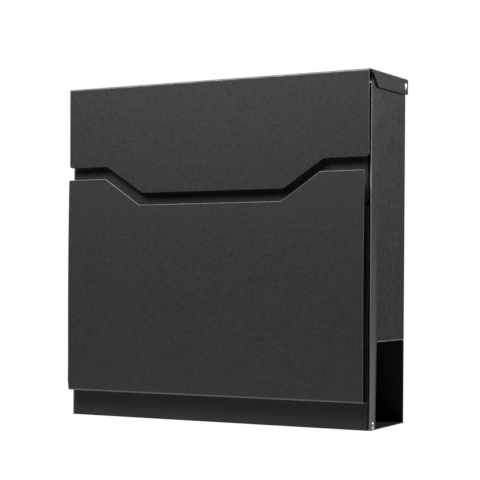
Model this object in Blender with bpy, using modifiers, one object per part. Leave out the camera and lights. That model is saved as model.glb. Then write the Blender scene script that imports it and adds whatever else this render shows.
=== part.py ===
"""Wall mailbox with a rear-hinged lid, a bottom-hinged front door and a newspaper tunnel.

X runs to the right, the front faces -Y, the wall is the plane Y = 0 and the underside is Z = 0.
Lengths are written in millimetres and turned into metres where geometry is made.
"""
import math

import bmesh
import bpy
from mathutils import Matrix, Vector

MM = 0.001

# Overall proportions
SHEET = 1.0
GAP = 0.3
PAD_DEPTH = 6.0
HALF_WIDTH = 180.0
BODY_DEPTH = 98.0
Y_REAR = -PAD_DEPTH
Y_FRONT = Y_REAR - BODY_DEPTH
BEND_RADIUS = 1.2

# Lid: sheet with a stepped flap in front and an ear on each side
LID_FRONT_Z = 365.0
LID_RISE = 3.0
LID_REAR_Y = Y_REAR + 1.0
FLAP_PROUD = 6.8
FLAP_Y = Y_FRONT - FLAP_PROUD
FLAP_HALF_WIDTH = 180.3
FLAP_SIDE_Z = 276.8
FLAP_MIDDLE_Z = 247.0
FLAP_STEP_OUTER_X = 131.0
FLAP_STEP_INNER_X = 85.5
EAR_INNER_X = 181.3
EAR_FRONT_TOP = (Y_FRONT - 0.4, 361.9)
EAR_FRONT_LOW = (Y_FRONT + 15.1, 348.5)
EAR_REAR_LOW_Z = 350.9
LID_PIVOT_Y = Y_REAR - 7.3
LID_PIVOT_Z = 359.0

BUFFER_X = 150.0
BUFFER_Z = 300.0
BUFFER_BASE_RADIUS = 6.0
BUFFER_TIP_RADIUS = 5.0
BUFFER_RIM = 2.0

# Door: inner plate and raised decorative panel with a stepped top edge
DOOR_HALF_WIDTH = 177.2
DOOR_TOP_Z = 230.7
DOOR_LOW_Z = 0.3
DOOR_RETURN = 10.0
DOOR_PIVOT_Y = Y_FRONT + 8.7
DOOR_PIVOT_Z = 5.0
DOOR_FLANGE_ROUND = 4.7
PANEL_PROUD = 13.4
PANEL_Y = Y_FRONT - PANEL_PROUD
PANEL_HALF_WIDTH = 177.7
PANEL_SIDE_Z = 263.0
PANEL_MIDDLE_Z = 233.5
PANEL_LOW_Z = 28.6
PANEL_STEP_OUTER_X = 129.4
PANEL_STEP_INNER_X = 85.7
STUD_X = 140.0
STUD_HEIGHTS = (55.0, 200.0)
STUD_RADIUS = 2.0
STUD_FOOT_RADIUS = 4.0
STUD_FOOT = 0.8
STUD_REACH = 7.0
STUD_CHAMFER = 0.4
TUBE_RADIUS = 4.5
STUD_BORE_RADIUS = 2.3
STUD_NUT_RADIUS = 4.0
STUD_NUT_HEIGHT = 3.2

# Housing
WALL_TOP_Z = 362.0
WALL_NOTCH_Z = 351.0
WALL_NOTCH_DEPTH = 3.0
WALL_REAR_TOP_Z = 350.0
WALL_LUG_RADIUS = 6.0
HEM_DEPTH = 15.0
HEM_INNER_X = 178.0
STRIP_TOP_DEPTH = 18.5
STRIP_LOW_DEPTH = 16.5
TUNNEL_TOP_Z = 89.0
FLANGE_WIDTH = 14.0
BACK_REAR_Y = Y_REAR - SHEET - GAP
BACK_TOP_Z = 361.0
BACK_HALF_WIDTH = HALF_WIDTH - SHEET - GAP
BACK_LIP_RADIUS = 6.9
BACK_LIP_HALF_WIDTH = 178.0
MOUNT_HOLE_RADIUS = 3.5
MOUNT_HOLE_X = 120.0
MOUNT_HOLE_HEIGHTS = (130.0, 320.0)
PAD_RADIUS = 8.0
PAD_X = 150.0
PAD_HEIGHTS = (120.0, 330.0)
FLOOR_HALF_WIDTH = 173.5
FLOOR_UPTURN_Z = 8.0
FLOOR_SETBACK = 4.0
WING_INNER_X = 173.0
PARTITION_FRONT_Y = Y_FRONT + 15.2
PARTITION_UPTURN = 10.0
HEADER_LOW_Z = 231.3
HEADER_TOP_Z = 351.0
HEADER_TOP_RETURN = 11.0
HEADER_LOW_RETURN = 9.0
HEADER_TAB_DEPTH = 13.0
HEADER_TAB_MARGIN = 1.5

# Pivots and lock
RIVET_RADIUS = 2.4
RIVET_HOLE_RADIUS = 2.6
RIVET_HEAD_RADIUS = 3.9
RIVET_HEAD = 1.5
RIVET_RIM = 0.35
TAIL_RADIUS = 3.6
TAIL_TIP_RADIUS = 2.9
TAIL_RIM = 1.0
TAIL = 1.4
DOME_FRACTIONS = (0.3, 0.55, 0.75, 0.9)
WASHER_RADIUS = 5.5
LOCK_Z = 262.0
BARREL_RADIUS = 9.3
BEZEL_RADIUS = 11.0
BEZEL_TIP_RADIUS = 10.0
BEZEL_RIM = 2.5
BEZEL_HEIGHT = 3.8
BARREL_SETBACK = 0.7
LOCK_NUT_RADIUS = 13.0
LOCK_NUT_HEIGHT = 3.0
PLUG_RADIUS = 6.3
PLUG_HEIGHT = 4.0
PLUG_CHAMFER = 0.4
KEYWAY_HALF = (1.0, 3.5)
KEYWAY_DEPTH = 6.0
CAM_FRONT_Y = Y_FRONT + 12.8
CAM_THICKNESS = 2.0
CAM_REACH = 40.0
CAM_HUB_RADIUS = 9.0
CAM_TIP_RADIUS = 4.0
CAM_TIP_HALF = 3.0
SCREW_RADIUS = 2.0
SCREW_BORE_RADIUS = 2.3
SCREW_REACH = 7.0
SCREW_BORE_DEPTH = 8.0
SCREW_HEAD_RADIUS = 4.5
SCREW_HEAD_TIP_RADIUS = 3.5
SCREW_HEAD = 2.0
SCREW_HEAD_RIM = 1.2
STRIKE_SHEET = 1.5
STRIKE_HALF_WIDTH = 18.0
STRIKE_LOW_Z = 197.0
STRIKE_TOP_Z = 229.5
STRIKE_ARM_Z = 216.0
STRIKE_CAM_GAP = 0.45
STRIKE_RIVET_X = 10.0
STRIKE_RIVET_Z = 205.0
STRIKE_HOLE_RADIUS = 1.8
STRIKE_RIVET_RADIUS = 1.5
STRIKE_HEAD_RADIUS = 3.0
STRIKE_TAIL_TIP_RADIUS = 2.0
STRIKE_TAIL_RIM = 0.6
STRIKE_TAIL = 1.2
STRIKE_HEAD = 1.0

ROUND_STEPS = 32
CUT_MARGIN = 5.0
SHORT_MARGIN = 3.0

LID_AXIS = (0.0, LID_PIVOT_Y, LID_PIVOT_Z)
DOOR_AXIS = (0.0, DOOR_PIVOT_Y, DOOR_PIVOT_Z)
LOCK_AXIS = (0.0, Y_FRONT, LOCK_Z)

MATERIALS = {
    "black_sheet": ((0.035, 0.034, 0.037), 0.5, 0.3),
    "bright_rivet": ((0.80, 0.80, 0.79), 0.3, 1.0),
    "zinc_steel": ((0.62, 0.62, 0.60), 0.4, 1.0),
    "black_rubber": ((0.02, 0.02, 0.02), 0.85, 0.0),
    "nylon": ((0.75, 0.74, 0.70), 0.55, 0.0),
    "lock_chrome": ((0.75, 0.76, 0.77), 0.18, 1.0),
    "lock_brass": ((0.72, 0.55, 0.26), 0.3, 1.0),
}


def clear_scene():
    """Removes whatever objects the file starts with."""
    for item in list(bpy.data.objects):
        bpy.data.objects.remove(item, do_unlink=True)


def new_collection(name):
    """Makes a collection in the scene."""
    group = bpy.data.collections.new(name)
    bpy.context.scene.collection.children.link(group)
    return group


def new_material(node_name, look):
    """Makes a sub-part's own Principled material from one of the named looks."""
    colour, roughness, metallic = MATERIALS[look]
    surface = bpy.data.materials.new(node_name + "_" + look)
    surface.use_nodes = True
    shader = surface.node_tree.nodes["Principled BSDF"]
    shader.inputs["Base Color"].default_value = (*colour, 1.0)
    shader.inputs["Roughness"].default_value = roughness
    shader.inputs["Metallic"].default_value = metallic
    surface.diffuse_color = (*colour, 1.0)
    return surface


def make_axis(name, point):
    """An empty on a joint's axis, which the joint's moving pieces follow."""
    axis = bpy.data.objects.new(name, None)
    axis.location = Vector(point) * MM
    PART.objects.link(axis)
    return axis


def finish(item, look, axis):
    """Puts a sub-part in the mailbox collection with its material, on its joint's axis if it moves."""
    PART.objects.link(item)
    item.data.materials.append(new_material(item.name, look))
    if axis:
        item.parent = axis
        item.matrix_parent_inverse = Matrix.Translation(-axis.location)


def as_tool(item):
    """Keeps a solid that only shapes other solids out of view."""
    TOOLS.objects.link(item)
    item.hide_render = True
    item.display_type = "WIRE"
    return item


def combine(item, tool, operation):
    """Adds an exact Boolean of the given kind."""
    step = item.modifiers.new(operation.lower(), "BOOLEAN")
    step.operation = operation
    step.solver = "EXACT"
    step.object = tool


def prism(name, outline, axis, low, high):
    """Fills a closed outline and gives it depth along one axis.

    The outline is (y, z) for depth along X, (x, z) for Y and (x, y) for Z.
    """
    sketch = bpy.data.curves.new(name + "_outline", "CURVE")
    sketch.dimensions = "2D"
    sketch.fill_mode = "BOTH"
    sketch.extrude = (high - low) / 2 * MM
    loop = sketch.splines.new("POLY")
    loop.points.add(len(outline) - 1)
    for point, (across, up) in zip(loop.points, outline):
        point.co = (across * MM, up * MM, 0.0, 1.0)
    loop.use_cyclic_u = True
    holder = bpy.data.objects.new(name + "_outline", sketch)
    bpy.context.scene.collection.objects.link(holder)
    graph = bpy.context.evaluated_depsgraph_get()
    mesh = bpy.data.meshes.new_from_object(holder.evaluated_get(graph))
    bpy.data.objects.remove(holder, do_unlink=True)
    middle = (low + high) / 2 * MM
    turns = {
        "X": Matrix(((0, 0, 1, middle), (1, 0, 0, 0), (0, 1, 0, 0), (0, 0, 0, 1))),
        "Y": Matrix(((1, 0, 0, 0), (0, 0, -1, middle), (0, 1, 0, 0), (0, 0, 0, 1))),
        "Z": Matrix.Translation((0, 0, middle)),
    }
    mesh.transform(turns[axis])
    mesh.name = name
    shell = bmesh.new()
    shell.from_mesh(mesh)
    bmesh.ops.remove_doubles(shell, verts=shell.verts, dist=1e-7)
    bmesh.ops.recalc_face_normals(shell, faces=shell.faces)
    shell.to_mesh(mesh)
    shell.free()
    return bpy.data.objects.new(name, mesh)


def box(name, low, high):
    """A rectangular block between two corners."""
    outline = [(low[1], low[2]), (high[1], low[2]), (high[1], high[2]), (low[1], high[2])]
    return prism(name, outline, "X", low[0], high[0])


def arc(centre, radius, start, end, steps):
    """Points on a circular arc, with angles in degrees."""
    points = []
    for index in range(steps + 1):
        angle = math.radians(start + (end - start) * index / steps)
        points.append((centre[0] + radius * math.cos(angle), centre[1] + radius * math.sin(angle)))
    return points


def bent_strip(path, thickness):
    """Outline of a folded sheet: the middle line of the path, rounded at its bends, half a sheet each way."""
    left = []
    right = []
    half = thickness / 2
    for index, corner in enumerate(path):
        here = Vector(corner)
        before = (here - Vector(path[index - 1])).normalized() if index else None
        after = (Vector(path[index + 1]) - here).normalized() if index < len(path) - 1 else None
        if before is None or after is None:
            along = after or before
            across = Vector((-along.y, along.x))
            left.append(tuple(here + across * half))
            right.append(tuple(here - across * half))
            continue
        turn = before.angle_signed(after) * -1
        reach = BEND_RADIUS * math.tan(abs(turn) / 2)
        side = 1.0 if turn > 0 else -1.0
        start = here - before * reach
        centre = start + Vector((-before.y, before.x)) * side * BEND_RADIUS
        for step in range(5):
            across = Vector((-before.y, before.x))
            across.rotate(Matrix.Rotation(turn * step / 4, 2))
            middle = centre - across * side * BEND_RADIUS
            left.append(tuple(middle + across * half))
            right.append(tuple(middle - across * half))
    return left + right[::-1]


def folded_sheet(name, path, thickness, half_width):
    """A sheet folded along X, centred on X = 0."""
    return prism(name, bent_strip(path, thickness), "X", -half_width, half_width)


def turned(name, profile, axis, centre):
    """Spins a profile of (radius, height) points about an axis; height runs along X or Y."""
    mesh = bpy.data.meshes.new(name)
    points = [(radius * MM, 0.0, height * MM) for radius, height in profile]
    closed = profile[0][0] > 0
    count = len(points)
    edges = [(index, index + 1) for index in range(count - 1)]
    if closed:
        edges.append((count - 1, 0))
    mesh.from_pydata(points, edges, [])
    item = bpy.data.objects.new(name, mesh)
    spin = item.modifiers.new("spin", "SCREW")
    spin.axis = "Z"
    spin.steps = ROUND_STEPS
    spin.render_steps = ROUND_STEPS
    spin.use_merge_vertices = True
    spin.merge_threshold = 0.00001
    spin.use_smooth_shade = True
    quarter = math.radians(90)
    item.rotation_euler = (0.0, quarter, 0.0) if axis == "X" else (-quarter, 0.0, 0.0)
    item.location = Vector(centre) * MM
    return item


def rod(name, radius, axis, centre, low, high):
    """A cutting cylinder along X or Y between two coordinates of that axis."""
    middle = list(centre)
    middle["XYZ".index(axis)] = 0.0
    return as_tool(turned(name, [(0, high), (radius, high), (radius, low), (0, low)], axis, middle))


def drill(item, name, radius, axis, centre, low, high):
    """Cuts a round hole."""
    combine(item, rod(name, radius, axis, centre, low, high), "DIFFERENCE")


def lid_top_z(y):
    """Height of the lid's top face, which rises towards the wall."""
    return LID_FRONT_Z + LID_RISE * (y - FLAP_Y) / (LID_REAR_Y - FLAP_Y)


def lip_outline(front):
    """Outline of the back's top edge, which curls forward round the lid's pivot under the lid."""
    pivot = (LID_PIVOT_Y, LID_PIVOT_Z)
    inner_radius = BACK_LIP_RADIUS - SHEET
    outer_start = math.degrees(math.acos((BACK_REAR_Y - LID_PIVOT_Y) / BACK_LIP_RADIUS))
    inner_start = math.degrees(math.acos((front - LID_PIVOT_Y) / inner_radius))
    outline = [(front, BACK_TOP_Z - SHEET), (BACK_REAR_Y, BACK_TOP_Z - SHEET)]
    outline += arc(pivot, BACK_LIP_RADIUS, outer_start, 90, 8)
    outline += arc(pivot, inner_radius, 90, inner_start, 8)
    return outline


def make_back_panel():
    """Rear sheet with a curled top edge, four mounting holes and doubled edges beside the tunnel."""
    front = BACK_REAR_Y - SHEET
    item = box("back_panel", (-BACK_HALF_WIDTH, front, 0.0), (BACK_HALF_WIDTH, BACK_REAR_Y, BACK_TOP_Z))
    lip = prism("back_lip", lip_outline(front), "X", -BACK_LIP_HALF_WIDTH, BACK_LIP_HALF_WIDTH)
    combine(item, as_tool(lip), "UNION")
    for side in (-1, 1):
        edge = sorted((side * (HALF_WIDTH - FLANGE_WIDTH), side * HALF_WIDTH))
        hem = box("back_hem", (edge[0], front, 0.0), (edge[1], BACK_REAR_Y + SHEET, TUNNEL_TOP_Z - GAP))
        combine(item, as_tool(hem), "UNION")
        for height in MOUNT_HOLE_HEIGHTS:
            centre = (side * MOUNT_HOLE_X, 0.0, height)
            drill(item, "mount_hole", MOUNT_HOLE_RADIUS, "Y", centre, front - CUT_MARGIN,
                  BACK_REAR_Y + CUT_MARGIN)
    finish(item, "black_sheet", None)


def side_outline():
    """Outline of a side wall: notch at the front, lug round the lid's pivot, tunnel opening below."""
    pivot = (LID_PIVOT_Y, LID_PIVOT_Z)
    rise = math.degrees(math.asin((WALL_TOP_Z - LID_PIVOT_Z) / WALL_LUG_RADIUS))
    outline = [
        (Y_FRONT, 0.0),
        (Y_FRONT, WALL_NOTCH_Z),
        (Y_FRONT + WALL_NOTCH_DEPTH, WALL_NOTCH_Z),
        (Y_FRONT + WALL_NOTCH_DEPTH, WALL_TOP_Z),
    ]
    outline += arc(pivot, WALL_LUG_RADIUS, 180 - rise, 0, 12)
    outline += [
        (LID_PIVOT_Y + WALL_LUG_RADIUS, WALL_REAR_TOP_Z),
        (Y_REAR, WALL_REAR_TOP_Z),
        (Y_REAR, TUNNEL_TOP_Z),
        (Y_FRONT + STRIP_TOP_DEPTH, TUNNEL_TOP_Z),
        (Y_FRONT + STRIP_LOW_DEPTH, 0.0),
    ]
    return outline


def side_box(name, side, inner, outer, low, high):
    """A block on one side, given by its distances from the middle and its (y, z) corners."""
    across = sorted((side * inner, side * outer))
    return box(name, (across[0], low[0], low[1]), (across[1], high[0], high[1]))


def make_side_panel(name, side):
    """Side wall with a doubled front margin, a rear flange and a flange under the shelf."""
    across = sorted((side * (HALF_WIDTH - SHEET), side * HALF_WIDTH))
    item = prism(name, side_outline(), "X", across[0], across[1])
    overlap = HALF_WIDTH - SHEET / 2
    hem = side_box("hem", side, HEM_INNER_X, overlap, (Y_FRONT, 0.0), (Y_FRONT + HEM_DEPTH, WALL_NOTCH_Z))
    rear_inner = HALF_WIDTH - FLANGE_WIDTH
    rear = side_box("rear_flange", side, rear_inner, overlap, (Y_REAR - SHEET, TUNNEL_TOP_Z),
                    (Y_REAR, WALL_REAR_TOP_Z))
    shelf_front = Y_FRONT + STRIP_TOP_DEPTH + GAP
    shelf_rear = BACK_REAR_Y - SHEET - GAP
    shelf = side_box("shelf_flange", side, rear_inner, overlap, (shelf_front, TUNNEL_TOP_Z),
                     (shelf_rear, TUNNEL_TOP_Z + SHEET))
    for tool in (hem, rear, shelf):
        combine(item, as_tool(tool), "UNION")
    low = across[0] - CUT_MARGIN
    high = across[1] + CUT_MARGIN
    drill(item, "lid_pivot_hole", RIVET_HOLE_RADIUS, "X", LID_AXIS, low, high)
    drill(item, "door_pivot_hole", RIVET_HOLE_RADIUS, "X", DOOR_AXIS, low, high)
    finish(item, "black_sheet", None)


def make_floor():
    """Sheet under the tunnel with a turned-up front edge; it narrows in front to clear the door."""
    front = DOOR_PIVOT_Y - FLOOR_SETBACK
    rear = BACK_REAR_Y - SHEET - GAP
    path = [(rear, SHEET / 2), (front, SHEET / 2), (front, FLOOR_UPTURN_Z)]
    item = folded_sheet("floor_panel", path, SHEET, FLOOR_HALF_WIDTH)
    for side in (-1, 1):
        wing_front = Y_FRONT + STRIP_LOW_DEPTH + GAP
        wing = side_box("floor_wing", side, WING_INNER_X, HALF_WIDTH, (wing_front, 0.0), (rear, SHEET))
        combine(item, as_tool(wing), "UNION")
    finish(item, "black_sheet", None)


def make_partition():
    """Shelf over the tunnel, turned up at the back and down in front as the tunnel's front wall."""
    rear = BACK_REAR_Y - SHEET - GAP - SHEET / 2
    level = TUNNEL_TOP_Z + SHEET + GAP + SHEET / 2
    front = PARTITION_FRONT_Y + SHEET / 2
    path = [(rear, level + PARTITION_UPTURN), (rear, level), (front, level), (front, SHEET + GAP)]
    finish(folded_sheet("partition", path, SHEET, BACK_HALF_WIDTH), "black_sheet", None)


def make_header():
    """Fixed front plate behind the flap, with returns on all edges and the lock's hole."""
    face = Y_FRONT + SHEET / 2
    path = [
        (face + HEADER_TOP_RETURN, HEADER_TOP_Z - SHEET / 2),
        (face, HEADER_TOP_Z - SHEET / 2),
        (face, HEADER_LOW_Z + SHEET / 2),
        (face + HEADER_LOW_RETURN, HEADER_LOW_Z + SHEET / 2),
    ]
    item = folded_sheet("header_plate", path, SHEET, DOOR_HALF_WIDTH)
    for side in (-1, 1):
        tab = side_box("header_tab", side, DOOR_HALF_WIDTH - SHEET, DOOR_HALF_WIDTH,
                       (face, HEADER_LOW_Z + HEADER_TAB_MARGIN),
                       (face + HEADER_TAB_DEPTH, HEADER_TOP_Z - HEADER_TAB_MARGIN))
        combine(item, as_tool(tab), "UNION")
    drill(item, "lock_hole", BARREL_RADIUS + GAP, "Y", LOCK_AXIS, Y_FRONT - CUT_MARGIN, Y_FRONT + CUT_MARGIN)
    finish(item, "black_sheet", None)


def make_pads():
    """Rubber pads that hold the back off the wall, so the lid's rear edge can swing."""
    front = BACK_REAR_Y + GAP
    number = 0
    for height in PAD_HEIGHTS:
        for side in (-1, 1):
            number += 1
            profile = [(0, 0.0), (PAD_RADIUS, 0.0), (PAD_RADIUS, front), (0, front)]
            pad = turned("spacer_pad_%d" % number, profile, "Y", (side * PAD_X, 0.0, height))
            finish(pad, "black_rubber", None)


def make_rivet(name, side, centre, head_x, tail_x):
    """Domed rivet along X: its head is outside the box and its set end inside."""
    dome = [(0.0, RIVET_HEAD)]
    dome += [(RIVET_HEAD_RADIUS * fraction, RIVET_HEAD * math.sqrt(1 - fraction ** 2))
             for fraction in DOME_FRACTIONS]
    profile = [(radius, head_x + height) for radius, height in dome]
    profile += [
        (RIVET_HEAD_RADIUS, head_x + RIVET_RIM),
        (RIVET_HEAD_RADIUS, head_x),
        (RIVET_RADIUS, head_x),
        (RIVET_RADIUS, tail_x),
        (TAIL_RADIUS, tail_x),
        (TAIL_RADIUS, tail_x - TAIL_RIM),
        (TAIL_TIP_RADIUS, tail_x - TAIL),
        (0.0, tail_x - TAIL),
    ]
    item = turned(name, profile, "X", centre)
    if side < 0:
        item.rotation_euler.z = math.radians(180)
    finish(item, "bright_rivet", None)


def make_pivots():
    """Rivets of the lid and the door, and the washers under the lid's ears."""
    for name, side in (("left", -1), ("right", 1)):
        make_rivet("lid_rivet_" + name, side, LID_AXIS, EAR_INNER_X + SHEET + GAP, HALF_WIDTH - SHEET - GAP)
        make_rivet("door_rivet_" + name, side, DOOR_AXIS, HALF_WIDTH + GAP, DOOR_HALF_WIDTH - SHEET - GAP)
        ring = [
            (WASHER_RADIUS, EAR_INNER_X - GAP),
            (WASHER_RADIUS, HALF_WIDTH + GAP),
            (RIVET_HOLE_RADIUS, HALF_WIDTH + GAP),
            (RIVET_HOLE_RADIUS, EAR_INNER_X - GAP),
        ]
        washer = turned("lid_washer_" + name, ring, "X", LID_AXIS)
        if side < 0:
            washer.rotation_euler.z = math.radians(180)
        finish(washer, "nylon", None)


def ear_outline():
    """Outline of a lid ear: sloped front, lower edge just over the body, top along the lid."""
    return [
        (EAR_FRONT_TOP[0], lid_top_z(EAR_FRONT_TOP[0])),
        EAR_FRONT_TOP,
        EAR_FRONT_LOW,
        (LID_REAR_Y - 1.0, EAR_REAR_LOW_Z),
        (LID_REAR_Y, EAR_REAR_LOW_Z + 1.0),
        (LID_REAR_Y, lid_top_z(LID_REAR_Y)),
    ]


def flap_waste(side):
    """Outline cut away under the flap on one side of its middle."""
    return [
        (side * FLAP_STEP_INNER_X, FLAP_MIDDLE_Z),
        (side * FLAP_STEP_OUTER_X, FLAP_SIDE_Z),
        (side * (HALF_WIDTH + CUT_MARGIN), FLAP_SIDE_Z),
        (side * (HALF_WIDTH + CUT_MARGIN), FLAP_MIDDLE_Z - CUT_MARGIN),
        (side * FLAP_STEP_INNER_X, FLAP_MIDDLE_Z - CUT_MARGIN),
    ]


def make_lid():
    """Top sheet, stepped front flap and two ears, one folded sheet hinged at the back."""
    half = SHEET / 2
    path = [(LID_REAR_Y, lid_top_z(LID_REAR_Y) - half), (FLAP_Y + half, LID_FRONT_Z - half),
            (FLAP_Y + half, FLAP_MIDDLE_Z)]
    item = folded_sheet("lid", path, SHEET, FLAP_HALF_WIDTH)
    for side in (-1, 1):
        outer = EAR_INNER_X + SHEET
        across = sorted((side * EAR_INNER_X, side * outer))
        ear = prism("ear", ear_outline(), "X", across[0], across[1])
        combine(item, as_tool(ear), "UNION")
        rim_front = EAR_FRONT_TOP[0]
        rim = [
            (rim_front, lid_top_z(rim_front) - SHEET),
            (LID_REAR_Y, lid_top_z(LID_REAR_Y) - SHEET),
            (LID_REAR_Y, lid_top_z(LID_REAR_Y)),
            (rim_front, lid_top_z(rim_front)),
        ]
        across = sorted((side * (FLAP_HALF_WIDTH - SHEET), side * (EAR_INNER_X + half)))
        combine(item, as_tool(prism("rim", rim, "X", across[0], across[1])), "UNION")
        waste = prism("flap_waste", flap_waste(side), "Y", FLAP_Y - CUT_MARGIN, Y_FRONT - SHORT_MARGIN)
        combine(item, as_tool(waste), "DIFFERENCE")
        low = side * EAR_INNER_X - SHORT_MARGIN
        high = side * EAR_INNER_X + SHORT_MARGIN
        drill(item, "ear_hole", RIVET_HOLE_RADIUS, "X", LID_AXIS, low, high)
    finish(item, "black_sheet", LID_JOINT)


def make_buffers():
    """Rubber buffers on the flap's inner face."""
    for name, side in (("left", -1), ("right", 1)):
        low = FLAP_Y + SHEET + GAP
        high = Y_FRONT - GAP
        profile = [(0, high), (BUFFER_TIP_RADIUS, high), (BUFFER_BASE_RADIUS, low + BUFFER_RIM),
                   (BUFFER_BASE_RADIUS, low), (0, low)]
        buffer = turned("lid_buffer_" + name, profile, "Y", (side * BUFFER_X, 0.0, BUFFER_Z))
        finish(buffer, "black_rubber", LID_JOINT)


def make_door_plate():
    """Inner plate of the door: top return, side flanges rounded about the pivot, stud holes."""
    face = Y_FRONT + SHEET / 2
    top = DOOR_TOP_Z - SHEET / 2
    item = folded_sheet("door_plate", [(Y_FRONT + DOOR_RETURN, top), (face, top), (face, DOOR_LOW_Z)],
                        SHEET, DOOR_HALF_WIDTH)
    flange = [(face, DOOR_LOW_Z)]
    flange += arc((DOOR_PIVOT_Y, DOOR_PIVOT_Z), DOOR_FLANGE_ROUND, -90, 0, 6)
    flange_top = DOOR_TOP_Z - 2 * SHEET
    flange += [(DOOR_PIVOT_Y + DOOR_FLANGE_ROUND, flange_top), (face, flange_top)]
    front = Y_FRONT - CUT_MARGIN
    back = Y_FRONT + CUT_MARGIN
    for side in (-1, 1):
        across = sorted((side * (DOOR_HALF_WIDTH - SHEET), side * DOOR_HALF_WIDTH))
        combine(item, as_tool(prism("door_flange", flange, "X", across[0], across[1])), "UNION")
        low = side * DOOR_HALF_WIDTH - SHORT_MARGIN
        high = side * DOOR_HALF_WIDTH + SHORT_MARGIN
        drill(item, "door_hole", RIVET_HOLE_RADIUS, "X", DOOR_AXIS, low, high)
        strike = (side * STRIKE_RIVET_X, 0.0, STRIKE_RIVET_Z)
        drill(item, "strike_hole", STRIKE_HOLE_RADIUS, "Y", strike, front, back)
        for height in STUD_HEIGHTS:
            drill(item, "stud_hole", STUD_BORE_RADIUS, "Y", (side * STUD_X, 0.0, height), front, back)
    finish(item, "black_sheet", DOOR_JOINT)


def make_door_panel():
    """Raised decorative front: flat sheet with a stepped top edge and a return along the bottom."""
    half = SHEET / 2
    path = [(PANEL_Y + half, PANEL_SIDE_Z), (PANEL_Y + half, PANEL_LOW_Z + half),
            (Y_FRONT - GAP, PANEL_LOW_Z + half)]
    item = folded_sheet("door_panel", path, SHEET, PANEL_HALF_WIDTH)
    waste = [
        (-PANEL_STEP_OUTER_X, PANEL_SIDE_Z),
        (-PANEL_STEP_INNER_X, PANEL_MIDDLE_Z),
        (PANEL_STEP_INNER_X, PANEL_MIDDLE_Z),
        (PANEL_STEP_OUTER_X, PANEL_SIDE_Z),
        (PANEL_STEP_OUTER_X, PANEL_SIDE_Z + CUT_MARGIN),
        (-PANEL_STEP_OUTER_X, PANEL_SIDE_Z + CUT_MARGIN),
    ]
    tool = as_tool(prism("panel_waste", waste, "Y", PANEL_Y - CUT_MARGIN, PANEL_Y + CUT_MARGIN))
    combine(item, tool, "DIFFERENCE")
    finish(item, "black_sheet", DOOR_JOINT)


def make_panel_fixings():
    """Studs on the back of the decorative front, the tubes round them and the nuts inside the door."""
    back = PANEL_Y + SHEET
    number = 0
    for height in STUD_HEIGHTS:
        for side in (-1, 1):
            number += 1
            centre = (side * STUD_X, 0.0, height)
            stud_low = back + GAP
            tip = Y_FRONT + STUD_REACH
            foot_top = stud_low + STUD_FOOT
            profile = [(0, tip), (STUD_RADIUS - STUD_CHAMFER, tip), (STUD_RADIUS, tip - STUD_CHAMFER),
                       (STUD_RADIUS, foot_top), (STUD_FOOT_RADIUS, foot_top), (STUD_FOOT_RADIUS, stud_low),
                       (0, stud_low)]
            finish(turned("panel_stud_%d" % number, profile, "Y", centre), "zinc_steel", DOOR_JOINT)
            tube_low = foot_top + GAP
            tube_high = Y_FRONT - GAP
            tube = [(TUBE_RADIUS, tube_high), (TUBE_RADIUS, tube_low), (STUD_BORE_RADIUS, tube_low),
                    (STUD_BORE_RADIUS, tube_high)]
            finish(turned("panel_spacer_%d" % number, tube, "Y", centre), "nylon", DOOR_JOINT)
            nut_low = Y_FRONT + SHEET + GAP
            make_hex_nut("panel_nut_%d" % number, centre, STUD_NUT_RADIUS, STUD_BORE_RADIUS, nut_low,
                         nut_low + STUD_NUT_HEIGHT, DOOR_JOINT)


def make_hex_nut(name, centre, radius, bore, low, high, axis):
    """Six-sided nut along Y with a plain bore."""
    corners = [(centre[0] + across, centre[2] + up) for across, up in arc((0, 0), radius, 0, 300, 5)]
    item = prism(name, corners, "Y", low, high)
    drill(item, name + "_bore", bore, "Y", centre, low - CUT_MARGIN, high + CUT_MARGIN)
    finish(item, "zinc_steel", axis)


def make_strike():
    """Catch on the door's inner face: a tab, an arm to the back and an upstand behind the cam."""
    tab = Y_FRONT + SHEET + GAP + STRIKE_SHEET / 2
    upstand = CAM_FRONT_Y + CAM_THICKNESS + STRIKE_CAM_GAP + STRIKE_SHEET / 2
    path = [(tab, STRIKE_LOW_Z), (tab, STRIKE_ARM_Z), (upstand, STRIKE_ARM_Z), (upstand, STRIKE_TOP_Z)]
    item = folded_sheet("strike_bracket", path, STRIKE_SHEET, STRIKE_HALF_WIDTH)
    for number, side in ((1, -1), (2, 1)):
        centre = (side * STRIKE_RIVET_X, 0.0, STRIKE_RIVET_Z)
        drill(item, "strike_bore", STRIKE_HOLE_RADIUS, "Y", centre, tab - SHORT_MARGIN, tab + SHORT_MARGIN)
        outer = Y_FRONT - GAP
        inner = tab + STRIKE_SHEET / 2 + GAP
        tip = inner + STRIKE_TAIL
        head = outer - STRIKE_HEAD
        profile = [(0, tip), (STRIKE_TAIL_TIP_RADIUS, tip), (STRIKE_HEAD_RADIUS, inner + STRIKE_TAIL_RIM),
                   (STRIKE_HEAD_RADIUS, inner), (STRIKE_RIVET_RADIUS, inner), (STRIKE_RIVET_RADIUS, outer),
                   (STRIKE_HEAD_RADIUS, outer), (STRIKE_HEAD_RADIUS, head), (0, head)]
        finish(turned("strike_rivet_%d" % number, profile, "Y", centre), "bright_rivet", DOOR_JOINT)
    finish(item, "zinc_steel", DOOR_JOINT)


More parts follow.
